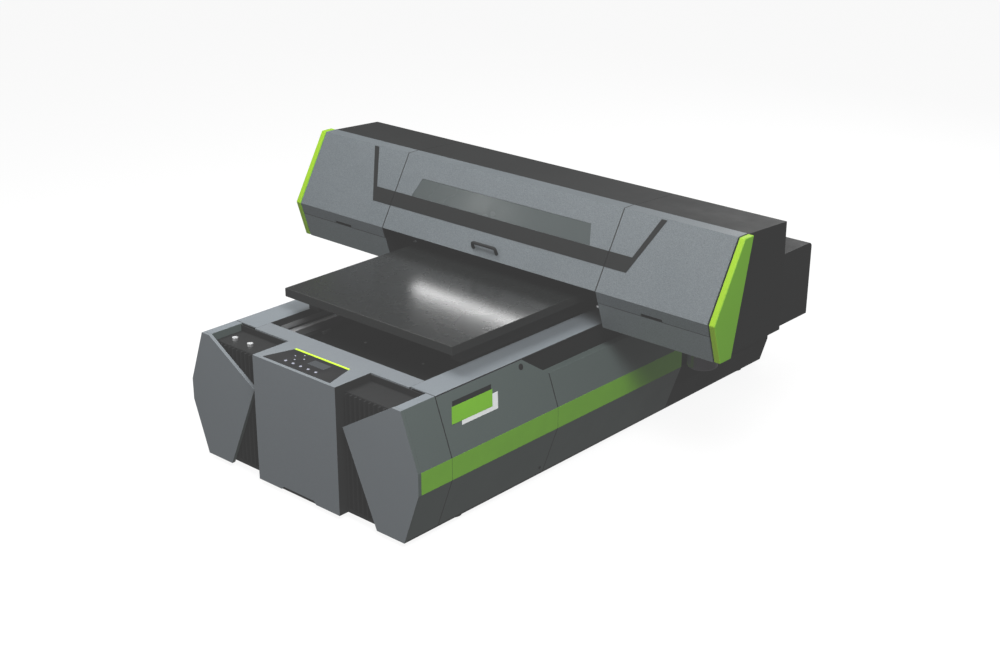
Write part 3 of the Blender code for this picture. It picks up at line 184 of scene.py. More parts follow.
def face_direction(material, axis):
    """How far a face looks along an axis, either way."""
    return calculation(material, "ABSOLUTE", part_of(material, true_normal(material), axis))


def darker(colour, share):
    return tuple(channel * share for channel in colour)


def powder_coat(name, colour, roughness=0.5, sparkle=0.10, grain=0.0009, depth=0.00003, metallic=0.0):
    """Textured powder coat: fine grain in colour, roughness and height, with broad slight wear."""
    material = new_material(name, colour, roughness, metallic)
    links = material.node_tree.links
    shader = shader_of(material)
    speck = ramp(material, noise(material, grain, 2.0), 0.35, 0.65, 0.0, 1.0)
    colours = blend_colours(material, speck, darker(colour, 1.0 - sparkle), darker(colour, 1.0 + sparkle))
    links.new(colours, shader.inputs["Base Color"])
    broad = ramp(material, noise(material, 0.09, 4.0), 0.35, 0.65, roughness - 0.05, roughness + 0.05)
    links.new(broad, shader.inputs["Roughness"])
    bump(material, noise(material, grain * 1.3, 2.0), depth)
    return material


def moulded_plastic(name, colour, roughness=0.45, grain=0.0006, depth=0.00002, coat=0.0):
    """Moulded plastic with a fine spark-eroded grain."""
    material = new_material(name, colour, roughness, coat=coat)
    links = material.node_tree.links
    shader = shader_of(material)
    broad = ramp(material, noise(material, 0.05, 3.0), 0.35, 0.65, roughness - 0.05, roughness + 0.05)
    links.new(broad, shader.inputs["Roughness"])
    tint = blend_colours(material, noise(material, 0.04, 2.0), darker(colour, 0.93), darker(colour, 1.07))
    links.new(tint, shader.inputs["Base Color"])
    bump(material, noise(material, grain, 1.0), depth)
    return material


def bright_metal(name, colour, roughness=0.28, along="Y", depth=0.000012):
    """Ground metal with fine lines along one axis."""
    stretch = {"X": (0.02, 1.0, 1.0), "Y": (1.0, 0.02, 1.0), "Z": (1.0, 1.0, 0.02)}[along]
    material = new_material(name, colour, roughness, 1.0)
    links = material.node_tree.links
    shader = shader_of(material)
    lines = noise(material, 0.0012, 3.0, stretch)
    links.new(ramp(material, lines, 0.3, 0.7, roughness - 0.08, roughness + 0.10), shader.inputs["Roughness"])
    links.new(blend_colours(material, lines, darker(colour, 0.85), colour), shader.inputs["Base Color"])
    bump(material, lines, depth)
    return material


def speckled_plate(name):
    """Glossy black anodised plate with sparse pale flecks, and duller edges and underside."""
    material = new_material(name, PLATE_BLACK, 0.28, specular=0.38)
    links = material.node_tree.links
    shader = shader_of(material)
    flecks = material.node_tree.nodes.new("ShaderNodeTexVoronoi")
    flecks.inputs["Scale"].default_value = 1.0 / 0.0052
    links.new(object_coordinates(material), flecks.inputs["Vector"])
    fleck = ramp(material, flecks.outputs["Distance"], 0.10, 0.16, 1.0, 0.0)
    links.new(blend_colours(material, fleck, PLATE_BLACK, PLATE_FLECK), shader.inputs["Base Color"])
    soft = ramp(material, noise(material, 0.06, 4.0), 0.35, 0.65, 0.262, 0.284)
    up = part_of(material, true_normal(material), "Z")
    edges = ramp(material, up, 0.90, 0.95, 0.45, 0.0)
    links.new(calculation(material, "ADD", soft, edges), shader.inputs["Roughness"])
    bump(material, noise(material, 0.0016, 2.0), 0.000001)
    return material


def liquid_crystal(name):
    """Dark display glass with a faint cell grid."""
    material = new_material(name, (0.045, 0.05, 0.055), 0.12, coat=0.4)
    links = material.node_tree.links
    cells = material.node_tree.nodes.new("ShaderNodeTexChecker")
    cells.inputs["Scale"].default_value = 1.0 / 0.0011
    cells.inputs["Color1"].default_value = (0.04, 0.045, 0.05, 1.0)
    cells.inputs["Color2"].default_value = (0.05, 0.056, 0.062, 1.0)
    links.new(object_coordinates(material), cells.inputs["Vector"])
    links.new(cells.outputs["Color"], shader_of(material).inputs["Base Color"])
    return material


def glowing_strip(name, colour, glow):
    """Moulded diffuser that gives off its own light."""
    material = moulded_plastic(name, colour, 0.35)
    shader = shader_of(material)
    shader.inputs["Emission Color"].default_value = (*colour, 1.0)
    shader.inputs["Emission Strength"].default_value = glow
    return material


BLACK_COAT = powder_coat("black_powder_coat", DARK, 0.60, 0.25, depth=0.00002)
WELL_BLACK = powder_coat("well_black_paint", DARK, 0.60, 0.25)
BLACK_PLASTIC = moulded_plastic("black_moulding", (0.0070, 0.0075, 0.0078), 0.58)
LIME_BAND = moulded_plastic("lime_film", (0.190, 0.500, 0.012), 0.35)
LIME_GLOW = glowing_strip("lime_diffuser", (0.48, 0.76, 0.02), 0.30)
PANEL_GLOSS = moulded_plastic("panel_film", (0.004, 0.004, 0.005), 0.34, depth=0.000002)
TABLE_BLACK = speckled_plate("table_anodised")
STEEL = bright_metal("ground_steel", (0.74, 0.75, 0.76), 0.42)
STEEL_X = bright_metal("ground_steel_across", (0.66, 0.67, 0.68), 0.30, "X")
ALUMINIUM = bright_metal("satin_aluminium", (0.62, 0.63, 0.64), 0.42, "X", 0.000002)
COLUMN_METAL = bright_metal("column_aluminium", (0.56, 0.57, 0.58), 0.38, "Z")
BUTTON_METAL = bright_metal("button_steel", (0.85, 0.86, 0.87), 0.50, "Z")
KEY_GREY = moulded_plastic("pale_key", (0.32, 0.33, 0.40), 0.45)
RUBBER = moulded_plastic("rubber", (0.010, 0.010, 0.010), 0.85, 0.0012, 0.00005)
DISPLAY = liquid_crystal("display_glass")
WHITE_FILM = moulded_plastic("white_film", (0.80, 0.82, 0.82), 0.40)
BLACK_FILM = moulded_plastic("black_film", DARK, 0.62)
for soft in (BLACK_COAT, WELL_BLACK, BLACK_PLASTIC, BLACK_FILM):
    shader_of(soft).inputs["Specular IOR Level"].default_value = SOFT_SPECULAR


def overlay(material, factor, other):
    """Lay a second colour over the material's own, by a factor."""
    socket = shader_of(material).inputs["Base Color"]
    first = socket.links[0].from_socket
    mix = material.node_tree.nodes.new("ShaderNodeMix")
    mix.data_type = "RGBA"
    mix.inputs["B"].default_value = (*other, 1.0)
    material.node_tree.links.new(first, mix.inputs["A"])
    material.node_tree.links.new(factor, mix.inputs["Factor"])
    material.node_tree.links.new(mix.outputs["Result"], socket)


def paint_light_by_facing(material, switch, edge, other):
    """Change to a second colour where the switch value passes an edge: used for painted shade on sideways
    faces and for painted light on the lime's flanks.
    """
    overlay(material, ramp(material, switch, edge - 0.01, edge + 0.01, 0.0, 1.0), other)


def paint_seam_shade(material, axis, place, half_width, mirrored=False):
    """Painted shade: a dark line round a seam, where the gap between parts is in shade, at a place along an
    axis.
    """
    value = part_of(material, object_coordinates(material), axis)
    if mirrored:
        value = calculation(material, "ABSOLUTE", value)
    away = calculation(material, "ABSOLUTE", calculation(material, "SUBTRACT", value, place))
    overlay(material, ramp(material, away, half_width - SHADE_LINE_BLUR, half_width + SHADE_LINE_BLUR, 1.0, 0.0), DARK)


def console_material():
    """Console's grey paint, with painted shade: black on the flanks that face the ribbed inserts."""
    material = powder_coat("console_powder_coat", (0.150, 0.168, 0.183), 0.52, 0.10)
    # Painted shade: faces that look sideways, at the ribbed inserts, are painted near black.
    paint_light_by_facing(material, face_direction(material, "X"), 0.8, darker(DARK, 1.6))
    return material


def plate_material():
    """Corner plates' grey paint, with painted shade on the edges that look sideways, in the flanks' darker
    colour.
    """
    material = powder_coat("plate_powder_coat", (0.155, 0.174, 0.189), 0.52, 0.10)
    # Painted shade: edges that look sideways get the flanks' darker colour.
    paint_light_by_facing(material, face_direction(material, "X"), 0.8, FLANK_PAINT_AND_PLATE_EDGE_SHADE)
    return material


def cover_material():
    """Covers' speckled grey paint, with painted shade in the seams between them."""
    material = powder_coat("cover_powder_coat", (0.104, 0.120, 0.130), 0.48, 0.24, grain=0.0022)
    # Painted shade along the seams between the covers.
    paint_seam_shade(material, "X", SPLIT_X, SEAM_SHADE_HALF_WIDTH, True)
    return material


def panel_material():
    """Lower panels' speckled grey paint, with painted shade at the seam under the side covers."""
    material = powder_coat("lower_panel_coat", (0.130, 0.150, 0.158), 0.48, 0.20, grain=0.0022)
    # Painted shade along the seam under the side covers.
    paint_seam_shade(material, "Z", float(SIDE_COVER_LOW[2]), SEAM_SHADE_HALF_WIDTH)
    return material


def flank_material():
    """Flanks' green-grey paint, with painted light on the top faces, which get a paler copy, and painted
    shade at the seams and along the hem.
    """
    material = powder_coat("flank_powder_coat", FLANK_PAINT_AND_PLATE_EDGE_SHADE, 0.44, 0.10)
    # Painted light: faces that look up, near the rim's height, get a paler copy of the grey.
    level = ramp(material, face_direction(material, "Z"), 0.89, 0.91, 0.0, 1.0)
    height = part_of(material, object_coordinates(material), "Z")
    high = ramp(material, height, RIM_Z - 0.02, RIM_Z - 0.01, 0.0, 1.0)
    overlay(material, calculation(material, "MULTIPLY", level, high), (0.165, 0.187, 0.205))
    # Painted shade in the seams between the flank panels.
    for seam in (float(FRONT_SIDE_HIGH[1]), float(MIDDLE_HIGH[1])):
        paint_seam_shade(material, "Y", seam, SEAM_SHADE_HALF_WIDTH)
    # Painted shade along the hem, at the flanks' bottom edge.
    paint_seam_shade(material, "Z", HEM_Z, HEM_SHADE_HALF_WIDTH)
    return material


def lime_material():
    """Lime moulding, yellower on its front faces, with painted light on its flanks, which get a lighter,
    greener copy of the lime.
    """
    material = moulded_plastic("lime_moulding", (0.245, 0.440, 0.002), 0.50)
    # Painted light: faces that look sideways get a lighter copy of the lime.
    paint_light_by_facing(material, face_direction(material, "X"), 0.5, (0.235, 0.610, 0.016))
    shader_of(material).inputs["Specular IOR Level"].default_value = 0.25
    return material


def rim_material():
    """Rim's grey paint, with painted shade: black on the faces that look into the trough."""
    material = powder_coat("rim_powder_coat", (0.160, 0.181, 0.198), 0.50, 0.08)
    # Painted shade: faces that look sideways, into the trough, are painted black.
    paint_light_by_facing(material, face_direction(material, "X"), 0.5, DARK)
    return material


LIME = lime_material()
RIM_GREY = rim_material()
CONSOLE_GREY = console_material()
PLATE_GREY = plate_material()
COVER_GREY = cover_material()
PANEL_GREY = panel_material()
FLANK_GREY = flank_material()


def window_material():
    """Smoked sheet that mirrors softly and shows nothing behind it."""
    material = new_material("smoked_window", (0.057, 0.068, 0.068), 0.24, specular=0.35)
    links = material.node_tree.links
    soft = ramp(material, noise(material, 0.15, 3.0), 0.3, 0.7, 0.20, 0.30)
    links.new(soft, shader_of(material).inputs["Roughness"])
    bump(material, noise(material, 0.08, 2.0), 0.00008)
    return material


def bottle_material():
    """Dark polished moulding with faint upright flow lines."""
    material = new_material("bottle_moulding", (0.12, 0.11, 0.13), 0.24, 0.85, coat=0.4)
    bump(material, noise(material, 0.006, 2.0, (1.0, 1.0, 0.05)), 0.00004)
    return material


WINDOW = window_material()
BOTTLE = bottle_material()

KEYS = tuple("key_%d" % number for number in range(1, 6))
MATERIAL_NODES = (
    (WELL_BLACK, ("base_chassis", "well_floor")),
    (BLACK_COAT, ("rear_skirt", "screw_motor", "table_frame", "centre_rear_housing", "left_rear_housing",
                  "right_rear_housing", "print_carriage")),
    (BLACK_PLASTIC, ("left_grille", "right_grille", "ink_cabinet", "handle")),
    (CONSOLE_GREY, ("front_console",)),
    (PLATE_GREY, ("left_corner_plate", "right_corner_plate")),
    (FLANK_GREY, ("left_front_side", "right_front_side", "left_middle_side", "right_middle_side",
                  "left_rear_side", "right_rear_side")),
    (RIM_GREY, ("left_top_rail", "right_top_rail")),
    (COVER_GREY, ("left_front_cover", "right_front_cover", "centre_front_cover")),
    (PANEL_GREY, ("left_lower_panel", "right_lower_panel")),
    (LIME, ("left_end_cap", "right_end_cap")),
    (LIME_GLOW, ("status_light",)),
    (PANEL_GLOSS, ("control_panel", "nav_pad")),
    (BUTTON_METAL, ("power_button", "stop_button")),
    (KEY_GREY, KEYS),
    (TABLE_BLACK, ("table_top",)),
    (WINDOW, ("window",)),
    (BOTTLE, ("waste_bottle",)),
    (STEEL, ("left_linear_rail", "right_linear_rail", "table_screw")),
    (STEEL_X, ("x_rail", "print_head")),
    (ALUMINIUM, ("screw_bearing", "screw_nut", "gantry_beam", "curing_lamp")),
    (COLUMN_METAL, ("left_lift_column", "right_lift_column")),
    (RUBBER, ("front_left_foot", "front_right_foot", "rear_left_foot", "rear_right_foot", "capping_station")),
)
for material, names in MATERIAL_NODES:
    for name in names:
        NODES[name].data.materials.clear()
        NODES[name].data.materials.append(material)


# ------------------------------------------------------------ modelling helpers
def finish_piece(name, mesh, body, material):
    piece = bpy.data.objects.new(name, mesh)
    bpy.context.scene.collection.objects.link(piece)
    piece.data.materials.append(material)
    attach(piece, body)
    return piece


def slab(name, outline, thickness, place, body, material, edge=0.0):
    """A flat outline raised along its own normal, placed by a matrix, with a small rounded edge."""
    bm = bmesh.new()
    face = bm.faces.new([bm.verts.new((u, v, 0.0)) for u, v in outline])
    bm.normal_update()
    if face.normal.z < 0:
        face.normal_flip()
    raised = bmesh.ops.extrude_face_region(bm, geom=[face])["geom"]
    bmesh.ops.translate(bm, verts=[v for v in raised if isinstance(v, bmesh.types.BMVert)],
                        vec=(0.0, 0.0, thickness))
    bmesh.ops.recalc_face_normals(bm, faces=bm.faces)
    bm.transform(place)
    mesh = bpy.data.meshes.new(name)
    bm.to_mesh(mesh)
    bm.free()
    piece = finish_piece(name, mesh, body, material)
    if edge:
        rounded(piece, edge)
    return piece


def rectangle(first, last):
    """Outline of a rectangle between two opposite corners."""
    low_u, high_u = sorted((first[0], last[0]))
    low_v, high_v = sorted((first[1], last[1]))
    return [(low_u, low_v), (high_u, low_v), (high_u, high_v), (low_u, high_v)]


def rounded(piece, width, segments=2, angle=30.0):
    """Round a piece's sharp edges and keep its flats flat."""
    bevel = piece.modifiers.new("rounded_edges", "BEVEL")
    bevel.width = width
    bevel.segments = segments
    bevel.limit_method = "ANGLE"
    bevel.angle_limit = math.radians(angle)
    bevel.harden_normals = True
    piece.data.shade_smooth()
    piece.data.set_sharp_from_angle(angle=math.radians(angle))


def turned(name, profile, place, body, material, sides=32):
    """A turned fitting: (radius, height) points spun round the placed Z axis."""
    bm = bmesh.new()
    verts = [bm.verts.new((radius, 0.0, height)) for radius, height in profile]
    edges = [bm.edges.new(pair) for pair in zip(verts, verts[1:])]
    bmesh.ops.spin(bm, geom=verts + edges, cent=(0, 0, 0), axis=(0, 0, 1), angle=2 * math.pi, steps=sides,
                   use_duplicate=False)
    bmesh.ops.remove_doubles(bm, verts=bm.verts, dist=0.000001)
    bmesh.ops.recalc_face_normals(bm, faces=bm.faces)
    bm.transform(place)
    mesh = bpy.data.meshes.new(name)
    bm.to_mesh(mesh)
    bm.free()
    mesh.shade_smooth()
    mesh.set_sharp_from_angle(angle=math.radians(35))
    return finish_piece(name, mesh, body, material)


def facing(origin, normal, up):
    """Matrix whose Z is the normal and whose Y is as close to up as it can be."""
    z_axis = Vector(normal).normalized()
    x_axis = Vector(up).cross(z_axis).normalized()
    y_axis = z_axis.cross(x_axis)
    rotation = Matrix((x_axis, y_axis, z_axis)).transposed().to_4x4()
    return Matrix.Translation(Vector(origin)) @ rotation


def on_slope(x, run, height=0.0):
    """Point on the covers' sloping face: x, run up from the nose, height proud of it."""
    return (
        x,
        NOSE_Y + run * math.cos(SLOPE) - height * math.sin(SLOPE),
        NOSE_Z + run * math.sin(SLOPE) + height * math.cos(SLOPE),
    )


SLOPE_NORMAL = (0.0, -math.sin(SLOPE), math.cos(SLOPE))
SLOPE_PLACE = facing(on_slope(0.0, 0.0, SKIN), SLOPE_NORMAL, (0.0, math.cos(SLOPE), math.sin(SLOPE)))

# ------------------------------------------------------------ rounded edges on the CAD pieces
EDGE_WIDTHS = {
    0.0008: ("left_front_side", "right_front_side", "left_middle_side", "right_middle_side", "left_rear_side",
             "right_rear_side", "left_top_rail", "right_top_rail", "left_lower_panel", "right_lower_panel",
             "centre_rear_housing", "left_rear_housing", "right_rear_housing", "rear_skirt"),
    0.0014: ("centre_front_cover", "left_front_cover", "right_front_cover"),
    0.0010: ("front_console", "left_corner_plate", "right_corner_plate", "table_frame", "print_carriage",
             "curing_lamp", "capping_station", "screw_motor", "screw_nut", "left_lift_column",
             "right_lift_column", "ink_cabinet"),
    0.0006: ("left_grille", "right_grille", "control_panel", "left_linear_rail", "right_linear_rail",
             "x_rail"),
    0.0005: ("power_button", "stop_button", "nav_pad") + KEYS,
}
for width, names in EDGE_WIDTHS.items():
    for name in names:
        rounded(NODES[name], width)


# ------------------------------------------------------------ covers' black inlay
def inlay_pieces():
    """U-shaped black inlay over the three covers, split at their seams."""
    low, high, top = 0.0690, 0.1117, 0.2272
    outer_low, outer_top = 0.468, 0.5357
    inner_low, inner_top = 0.471, 0.5178
    gap = 0.0010
    band = rectangle((gap - SPLIT_X, low), (SPLIT_X - gap, high))
    slab("centre_inlay", band, FILM, SLOPE_PLACE, "centre_cover", BLACK_FILM)
    arm = [(SPLIT_X + gap, low), (outer_low, low), (outer_top, top), (inner_top, top), (inner_low, high),
           (SPLIT_X + gap, high)]
    slab("right_inlay", arm, FILM, SLOPE_PLACE, "right_cover", BLACK_FILM)
    other = [(-x, run) for x, run in reversed(arm)]
    slab("left_inlay", other, FILM, SLOPE_PLACE, "left_cover", BLACK_FILM)


# ------------------------------------------------------------ flanks: green band, labels, lock
def band_pieces():
    """Green film on the flanks' upright strip, cut at the panel seams."""
    width = BAND_HIGH_Z - BAND_LOW_Z
    spans = (
        ("front", float(FRONT_SIDE_LOW[1]), float(FRONT_SIDE_HIGH[1])),
        ("middle", float(MIDDLE_LOW[1]), float(MIDDLE_HIGH[1])),
        ("rear", float(REAR_SIDE_LOW[1]), float(REAR_SIDE_HIGH[1])),
    )
    for side_name, side in SIDES:
        for label, start, end in spans:
            outline = rectangle((0.0, 0.0), (end - start, width))
            if side > 0:
                place = facing((BAND_X, start, BAND_LOW_Z), (1, 0, 0), (0, 0, 1))
            else:
                place = facing((-BAND_X, end, BAND_LOW_Z), (-1, 0, 0), (0, 0, 1))
            name = "%s_%s_band" % (side_name, label)
            slab(name, outline, THIN_FILM, place, "base", LIME_BAND)


def on_facet(side, y, z, low, high):
    """Matrix on a flank's sloping facet, whose Y runs up it. Its two ends are (half width, height) pairs."""
    share = (z - low[1]) / (high[1] - low[1])
    x = low[0] + (high[0] - low[0]) * share
    up = Vector((side * (high[0] - low[0]), 0.0, high[1] - low[1])).normalized()
    normal = Vector((side * up.z, 0.0, -side * up.x))
    return facing(Vector((side * x, y, z)) + normal * SKIN, normal, up)


def upper_facet(side, y, z):
    return on_facet(side, y, z, (BAND_X, BAND_HIGH_Z), (RIM_X, RIM_Z))


def lower_facet(side, y, z):
    return on_facet(side, y, z, (HEM_X, HEM_Z), (BAND_X, BAND_LOW_Z))


def side_label():
    """Blank rating label: a dark bar over a green block, with a white block behind it."""
    start_y, base_z, top_z = -0.6125, 0.2806, 0.3285
    place = upper_facet(1, start_y, base_z)
    stretch = math.hypot(RIM_X - BAND_X, RIM_Z - BAND_HIGH_Z) / (RIM_Z - BAND_HIGH_Z)

    def block(name, y_range, z_range, lift, material):
        low_v, high_v = ((z - base_z) * stretch for z in z_range)
        low_lean, high_lean = ((top_z - z) * LABEL_LEAN for z in z_range)
        outline = [
            (y_range[0] - start_y - low_lean, low_v),
            (y_range[1] - start_y - low_lean, low_v),
            (y_range[1] - start_y - high_lean, high_v),
            (y_range[0] - start_y - high_lean, high_v),
        ]
        lifted = place @ Matrix.Translation((0.0, 0.0, lift))
        slab(name, outline, FILM, lifted, "base", material)

    white_y, white_z = (-0.5765, -0.4460), (base_z, 0.3180)
    green_y, green_z = (start_y, -0.4665), (0.2905, top_z)
    bar_y, bar_z = (-0.6100, -0.4705), (top_z + 0.0002, 0.3400)
    block("label_white", white_y, white_z, 0.0, WHITE_FILM)
    block("label_green", green_y, green_z, FILM, LIME_BAND)
    block("label_bar", bar_y, bar_z, FILM, BLACK_FILM)


def screw_head(name, place, body, radius=0.004, material=None):
    """Domed socket screw: a round head with a dimple."""
    height = radius * 0.45
    shape = ((0.0, 0.35), (0.42, 0.35), (0.50, 1.0), (0.80, 0.86), (1.0, 0.40), (1.0, 0.0))
    profile = [(radius * across, height * up) for across, up in shape]
    return turned(name, profile, place, body, material or STEEL, 24)


def side_fittings():
    """Round lock on the upper facet and a small cap low on the lower facet, alike on both sides."""
    lock = [
        (0.0, 0.0018), (0.0030, 0.0018), (0.0034, 0.0012),
        (0.0072, 0.0012), (0.0080, 0.0006), (0.0080, 0.0),
    ]
    lock_y, lock_z = -0.3497, 0.3488
    cap_y, cap_z = -0.2775, 0.0400
    for label, side in SIDES:
        place = upper_facet(side, lock_y, lock_z)
        turned(label + "_lock", lock, place, "base", BLACK_PLASTIC)
        place = lower_facet(side, cap_y, cap_z)
        screw_head(label + "_hem_screw", place, "base", 0.004, BLACK_PLASTIC)


def well_fittings():
    """Screws in the trough's floor, with a steel scale and a limit switch beside each rail."""
    screw_x, screw_y, screw_radius = 0.108, 0.4290, 0.0045
    scale_inner, scale_outer, scale_height = 0.2852, 0.2870, 0.0150
    scale_front, scale_back = -0.5700, 0.6900
    switch_x, switch_half, switch_height = 0.2400, 0.007, 0.0090
    switch_front, switch_back = -0.4660, -0.4380
    floor_z = float(WELL_HIGH[2]) + SKIN
    on_floor = Matrix.Translation((0.0, 0.0, floor_z))
    on_rail = Matrix.Translation((0.0, 0.0, float(RAIL_HIGH[2])))
    for label, side in SIDES:
        for row, end in (("front", -1), ("back", 1)):
            place = Matrix.Translation((side * screw_x, end * screw_y, floor_z))
            screw_head("well_screw_%s_%s" % (label, row), place, "base", screw_radius)
    for label, side in SIDES:
        outline = rectangle((side * scale_inner, scale_front), (side * scale_outer, scale_back))
        slab(label + "_rail_scale", outline, scale_height, on_rail, "base", STEEL, 0.0005)
        middle = side * switch_x
        outline = rectangle((middle - switch_half, switch_front), (middle + switch_half, switch_back))
        slab(label + "_limit_switch", outline, switch_height, on_floor, "base", ALUMINIUM,
             0.0010)


def sill_pieces():
    """Black sills under the ribbed inserts, and a black foot behind the notch in the console."""
    base_z = HEM_Z + 0.0012
    sill_lift, sill_height, sill_proud, sill_back = 0.0045, 0.0085, 0.0015, 0.0060
    inner_gap, outer_gap = 0.001, 0.020
    foot_drop, foot_height, foot_inset, foot_depth, foot_gap = 0.0030, 0.0160, 0.0045, 0.010, 0.0065
    sill_place = Matrix.Translation((0.0, 0.0, base_z + sill_lift))
    foot_place = Matrix.Translation((0.0, 0.0, base_z - foot_drop))
    for label, side in SIDES:
        low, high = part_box(label + "_grille")
        inner_x, outer_x = sorted((abs(float(low[0])), abs(float(high[0]))))
        front_y, back_y = float(low[1]) - sill_proud, float(low[1]) + sill_back
        outline = rectangle((side * (inner_x + inner_gap), front_y), (side * (outer_x - outer_gap), back_y))
        slab(label + "_grille_sill", outline, sill_height, sill_place, "base", BLACK_PLASTIC,
             0.0008)
    half = float(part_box("right_grille")[0][0]) - foot_gap
    front_y = float(CONSOLE_LOW[1]) + foot_inset
    outline = rectangle((-half, front_y), (half, front_y + foot_depth))
    slab("console_foot", outline, foot_height, foot_place, "base", BLACK_PLASTIC, 0.0010)


def gantry_fittings():
    """Bright sensor pins on the inner faces of the two cheeks."""
    profile = [
        (0.0, 0.0082), (0.0016, 0.0082), (0.0020, 0.0090),
        (0.0030, 0.0086), (0.0034, 0.0076), (0.0034, 0.0),
    ]
    left_spot, right_spot = (0.0510, 0.4070), (-0.0605, 0.4330)
    for label, side in SIDES:
        low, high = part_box(label + "_lower_panel")
        inner_x = float(high[0] if side < 0 else low[0])
        y, z = left_spot if side < 0 else right_spot
        place = facing((inner_x - side * SKIN, y, z), (-side, 0, 0), (0, 0, 1))
        turned(label + "_sensor_pin", profile, place, "gantry", STEEL, 24)


def louvre_row(name, body, place, count, width, height, pitch):
    """Pressed louvres: short wedges in one piece, one above another."""
    bm = bmesh.new()
    section = [(0.0, 0.0), (height * 0.75, height * 0.6), (height, height * 0.5), (height, 0.0)]
    for index in range(count):
        base = index * pitch
        ends = []
        for u in (-width / 2, width / 2):
            ends.append([bm.verts.new((u, base + v, w)) for v, w in section])
        for start in range(len(section)):
            after = (start + 1) % len(section)
            bm.faces.new((ends[0][start], ends[0][after], ends[1][after], ends[1][start]))
        bm.faces.new(ends[0])
        bm.faces.new(list(reversed(ends[1])))
    bmesh.ops.recalc_face_normals(bm, faces=bm.faces)
    bm.transform(place)
    mesh = bpy.data.meshes.new(name)
    bm.to_mesh(mesh)
    bm.free()
    piece = finish_piece(name, mesh, body, BLACK_COAT)
    rounded(piece, 0.0004)
    return piece


def back_fittings():
    """Plain service details on the gantry's back: housing screws and two rows of louvres."""
    screw_inset, screw_drop = 0.020, 0.035
    first_row, row_spacing, row_z = 0.095, 0.180, 0.440
    for label in ("left", "centre", "right"):
        low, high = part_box(label + "_rear_housing")
        for end, x in (("a", float(low[0]) + screw_inset), ("b", float(high[0]) - screw_inset)):
            place = facing((x, float(high[1]) + SKIN, float(high[2]) - screw_drop), (0, 1, 0), (0, 0, 1))
            screw_head("%s_housing_screw_%s" % (label, end), place, "gantry", 0.004)
    low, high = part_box("left_rear_housing")
    for index in range(2):
        x = float(low[0]) + first_row + row_spacing * index
        place = facing((x, float(high[1]) + SKIN, row_z), (0, 1, 0), (0, 0, 1))
        name = "housing_louvres_%d" % (index + 1)
        louvre_row(name, "gantry", place, count=9, width=0.130, height=0.0075, pitch=0.0125)


# ------------------------------------------------------------ control panel
def panel_pieces():
    """Display, and four pale dots on the navigation pad."""
    top = float(PANEL_HIGH[2])
    low_x, high_x = -0.004, 0.057
    low_y, high_y = float(PANEL_LOW[1]) + 0.041, float(PANEL_LOW[1]) + 0.069
    outline = rectangle((low_x, low_y), (high_x, high_y))
    place = Matrix.Translation((0.0, 0.0, top + SKIN))
    slab("display", outline, THIN_FILM, place, "base", DISPLAY)
    middle = (NAV_LOW + NAV_HIGH) / 2
    reach = 0.017
    for index in range(4):
        angle = index * math.pi / 2
        x = float(middle[0]) + reach * math.cos(angle)
        y = float(middle[1]) + reach * math.sin(angle)
        place = Matrix.Translation((x, y, float(NAV_HIGH[2]) + SKIN))
        profile = [(0.0, 0.0), (0.0023, 0.0), (0.0023, 0.0003), (0.0018, 0.0006), (0.0, 0.0007)]
        turned("nav_dot_%d" % (index + 1), profile, place, "nav_button", KEY_GREY, 20)


# ------------------------------------------------------------ stage, camera and light
def build_stage():
    """Pale floor, whose light doesn't reach the machine from below."""
    bm = bmesh.new()
    bmesh.ops.create_grid(bm, x_segments=1, y_segments=1, size=60.0)
    mesh = bpy.data.meshes.new("floor")
    bm.to_mesh(mesh)
    bm.free()
    floor = bpy.data.objects.new("floor", mesh)
    bpy.context.scene.collection.objects.link(floor)
    paint = new_material("pale_floor", (0.12, 0.12, 0.12), 0.9, specular=0.0)
    shader_of(paint).inputs["Emission Color"].default_value = (1.0, 1.0, 1.0, 1.0)
    shader_of(paint).inputs["Emission Strength"].default_value = 0.92
    mesh.materials.append(paint)
    floor.visible_diffuse = False
    floor.visible_glossy = False


def area_light(name, place, target, size, power):
    light = bpy.data.lights.new(name, "AREA")
    light.shape = "RECTANGLE"
    light.size, light.size_y = size
    light.energy = power
    lamp = bpy.data.objects.new(name, light)
    lamp.location = place
    lamp.rotation_euler = (Vector(target) - Vector(place)).to_track_quat("-Z", "Y").to_euler()
    bpy.context.scene.collection.objects.link(lamp)
    return lamp


def build_world(ambient):
    """Dim even surroundings that look white to the camera."""
    world = bpy.data.worlds.new("studio")
    world.use_nodes = True
    nodes = world.node_tree.nodes
    links = world.node_tree.links
    shown = nodes.new("ShaderNodeBackground")
    shown.inputs["Color"].default_value = (1.0, 1.0, 1.0, 1.0)
    shown.inputs["Strength"].default_value = 1.0
    nodes["Background"].inputs["Color"].default_value = (1.0, 1.0, 1.0, 1.0)
    nodes["Background"].inputs["Strength"].default_value = ambient
    path = nodes.new("ShaderNodeLightPath")
    either = nodes.new("ShaderNodeMixShader")
    links.new(path.outputs["Is Camera Ray"], either.inputs["Fac"])
    links.new(nodes["Background"].outputs["Background"], either.inputs[1])
    links.new(shown.outputs["Background"], either.inputs[2])
    links.new(either.outputs["Shader"], nodes["World Output"].inputs["Surface"])
    bpy.context.scene.world = world


def only_sheen_on(lamp, node):
    """Let a lamp show only as gloss, and only on one CAD node."""
    lamp.visible_camera = False
    lamp.visible_diffuse = False
    receivers = bpy.data.collections.new(lamp.name + "_receivers")
    receivers.objects.link(NODES[node])
    lamp.light_linking.receiver_collection = receivers


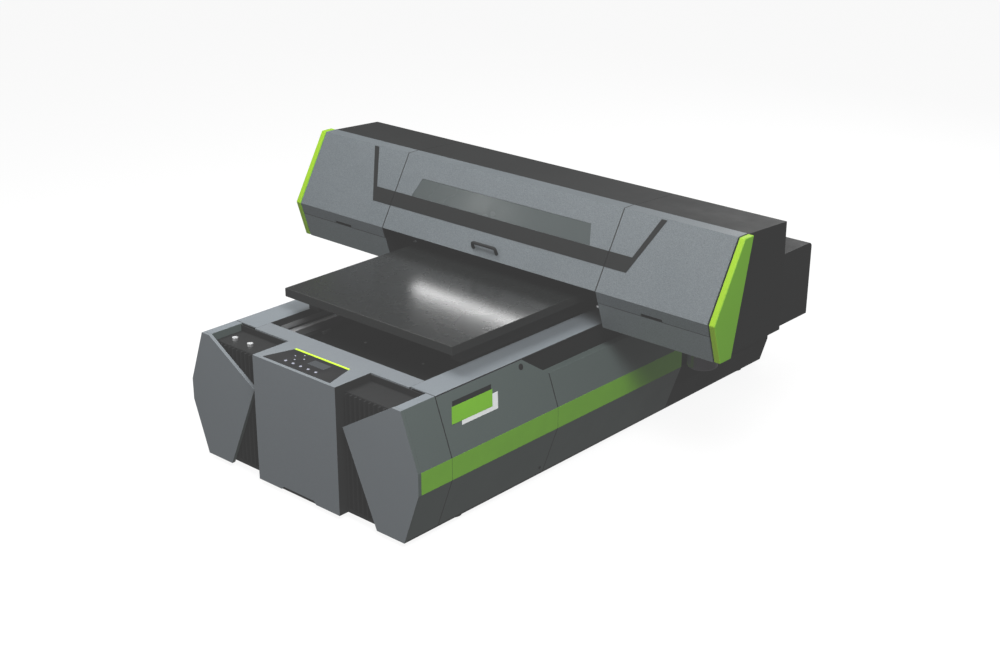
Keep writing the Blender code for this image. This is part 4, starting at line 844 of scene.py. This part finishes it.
def build_lights():
    area_light("key_right", (1.75, -1.6, 3.0), (0.3, -0.3, 0.3), (1.4, 1.4), 105.0)
    area_light("top_left", (-1.0, -0.5, 2.7), (0.0, -0.2, 0.35), (1.6, 1.6), 66.0)
    area_light("front_fill", (-0.6, -3.6, 1.3), (0.0, -0.7, 0.3), (1.6, 1.2), 27.0)
    area_light("rear_soft", (-0.2, 3.2, 2.0), (0.0, 0.3, 0.3), (2.0, 1.0), 40.0)
    sheen_x, sheen_y = 0.066, -0.177
    above, below = (sheen_x, sheen_y, 0.512), (sheen_x, sheen_y, 0.440)
    strip = area_light("table_sheen", above, below, (0.50, 0.045), 0.72)
    strip.rotation_euler = Matrix.Rotation(math.radians(-2.5), 3, "Z").to_euler()
    only_sheen_on(strip, "table_top")
    centre = Vector((-0.0447, -0.0133, 0.5966))
    place = Vector((-0.6863, -0.6264, 1.0573))
    patch = area_light("window_sheen", place, centre, (0.12, 0.055), 0.28)
    away = (place - centre).normalized()
    along = (Vector((1.0, 0.0, 0.0)) - away * away.x).normalized()
    patch.rotation_euler = Matrix((along, away.cross(along), away)).transposed().to_euler()
    only_sheen_on(patch, "window")


def set_tone(lift):
    """Lift the blacks a little, as a print's ink does."""
    view = bpy.context.scene.view_settings
    view.view_transform = "Standard"
    view.use_curve_mapping = True
    view.curve_mapping.curves[3].points[0].location = (0.0, lift)
    view.curve_mapping.update()


def build_camera():
    camera = bpy.data.cameras.new("camera")
    camera.sensor_width = 36.0
    camera.lens = 57.79
    eye = Vector((2.822, -3.1625, 1.946))
    target = Vector((0.1294, -0.1526, 0.315))
    holder = bpy.data.objects.new("camera", camera)
    holder.location = eye
    roll = math.radians(0.11)
    aim = (target - eye).to_track_quat("-Z", "Y").to_matrix() @ Matrix.Rotation(roll, 3, "Z")
    holder.rotation_euler = aim.to_euler()
    bpy.context.scene.collection.objects.link(holder)
    bpy.context.scene.camera = holder


inlay_pieces()
band_pieces()
side_label()
side_fittings()
well_fittings()
sill_pieces()
gantry_fittings()
back_fittings()
panel_pieces()
build_stage()
build_world(0.12)
build_lights()
build_camera()
set_tone(0.040)

bpy.context.view_layer.update()
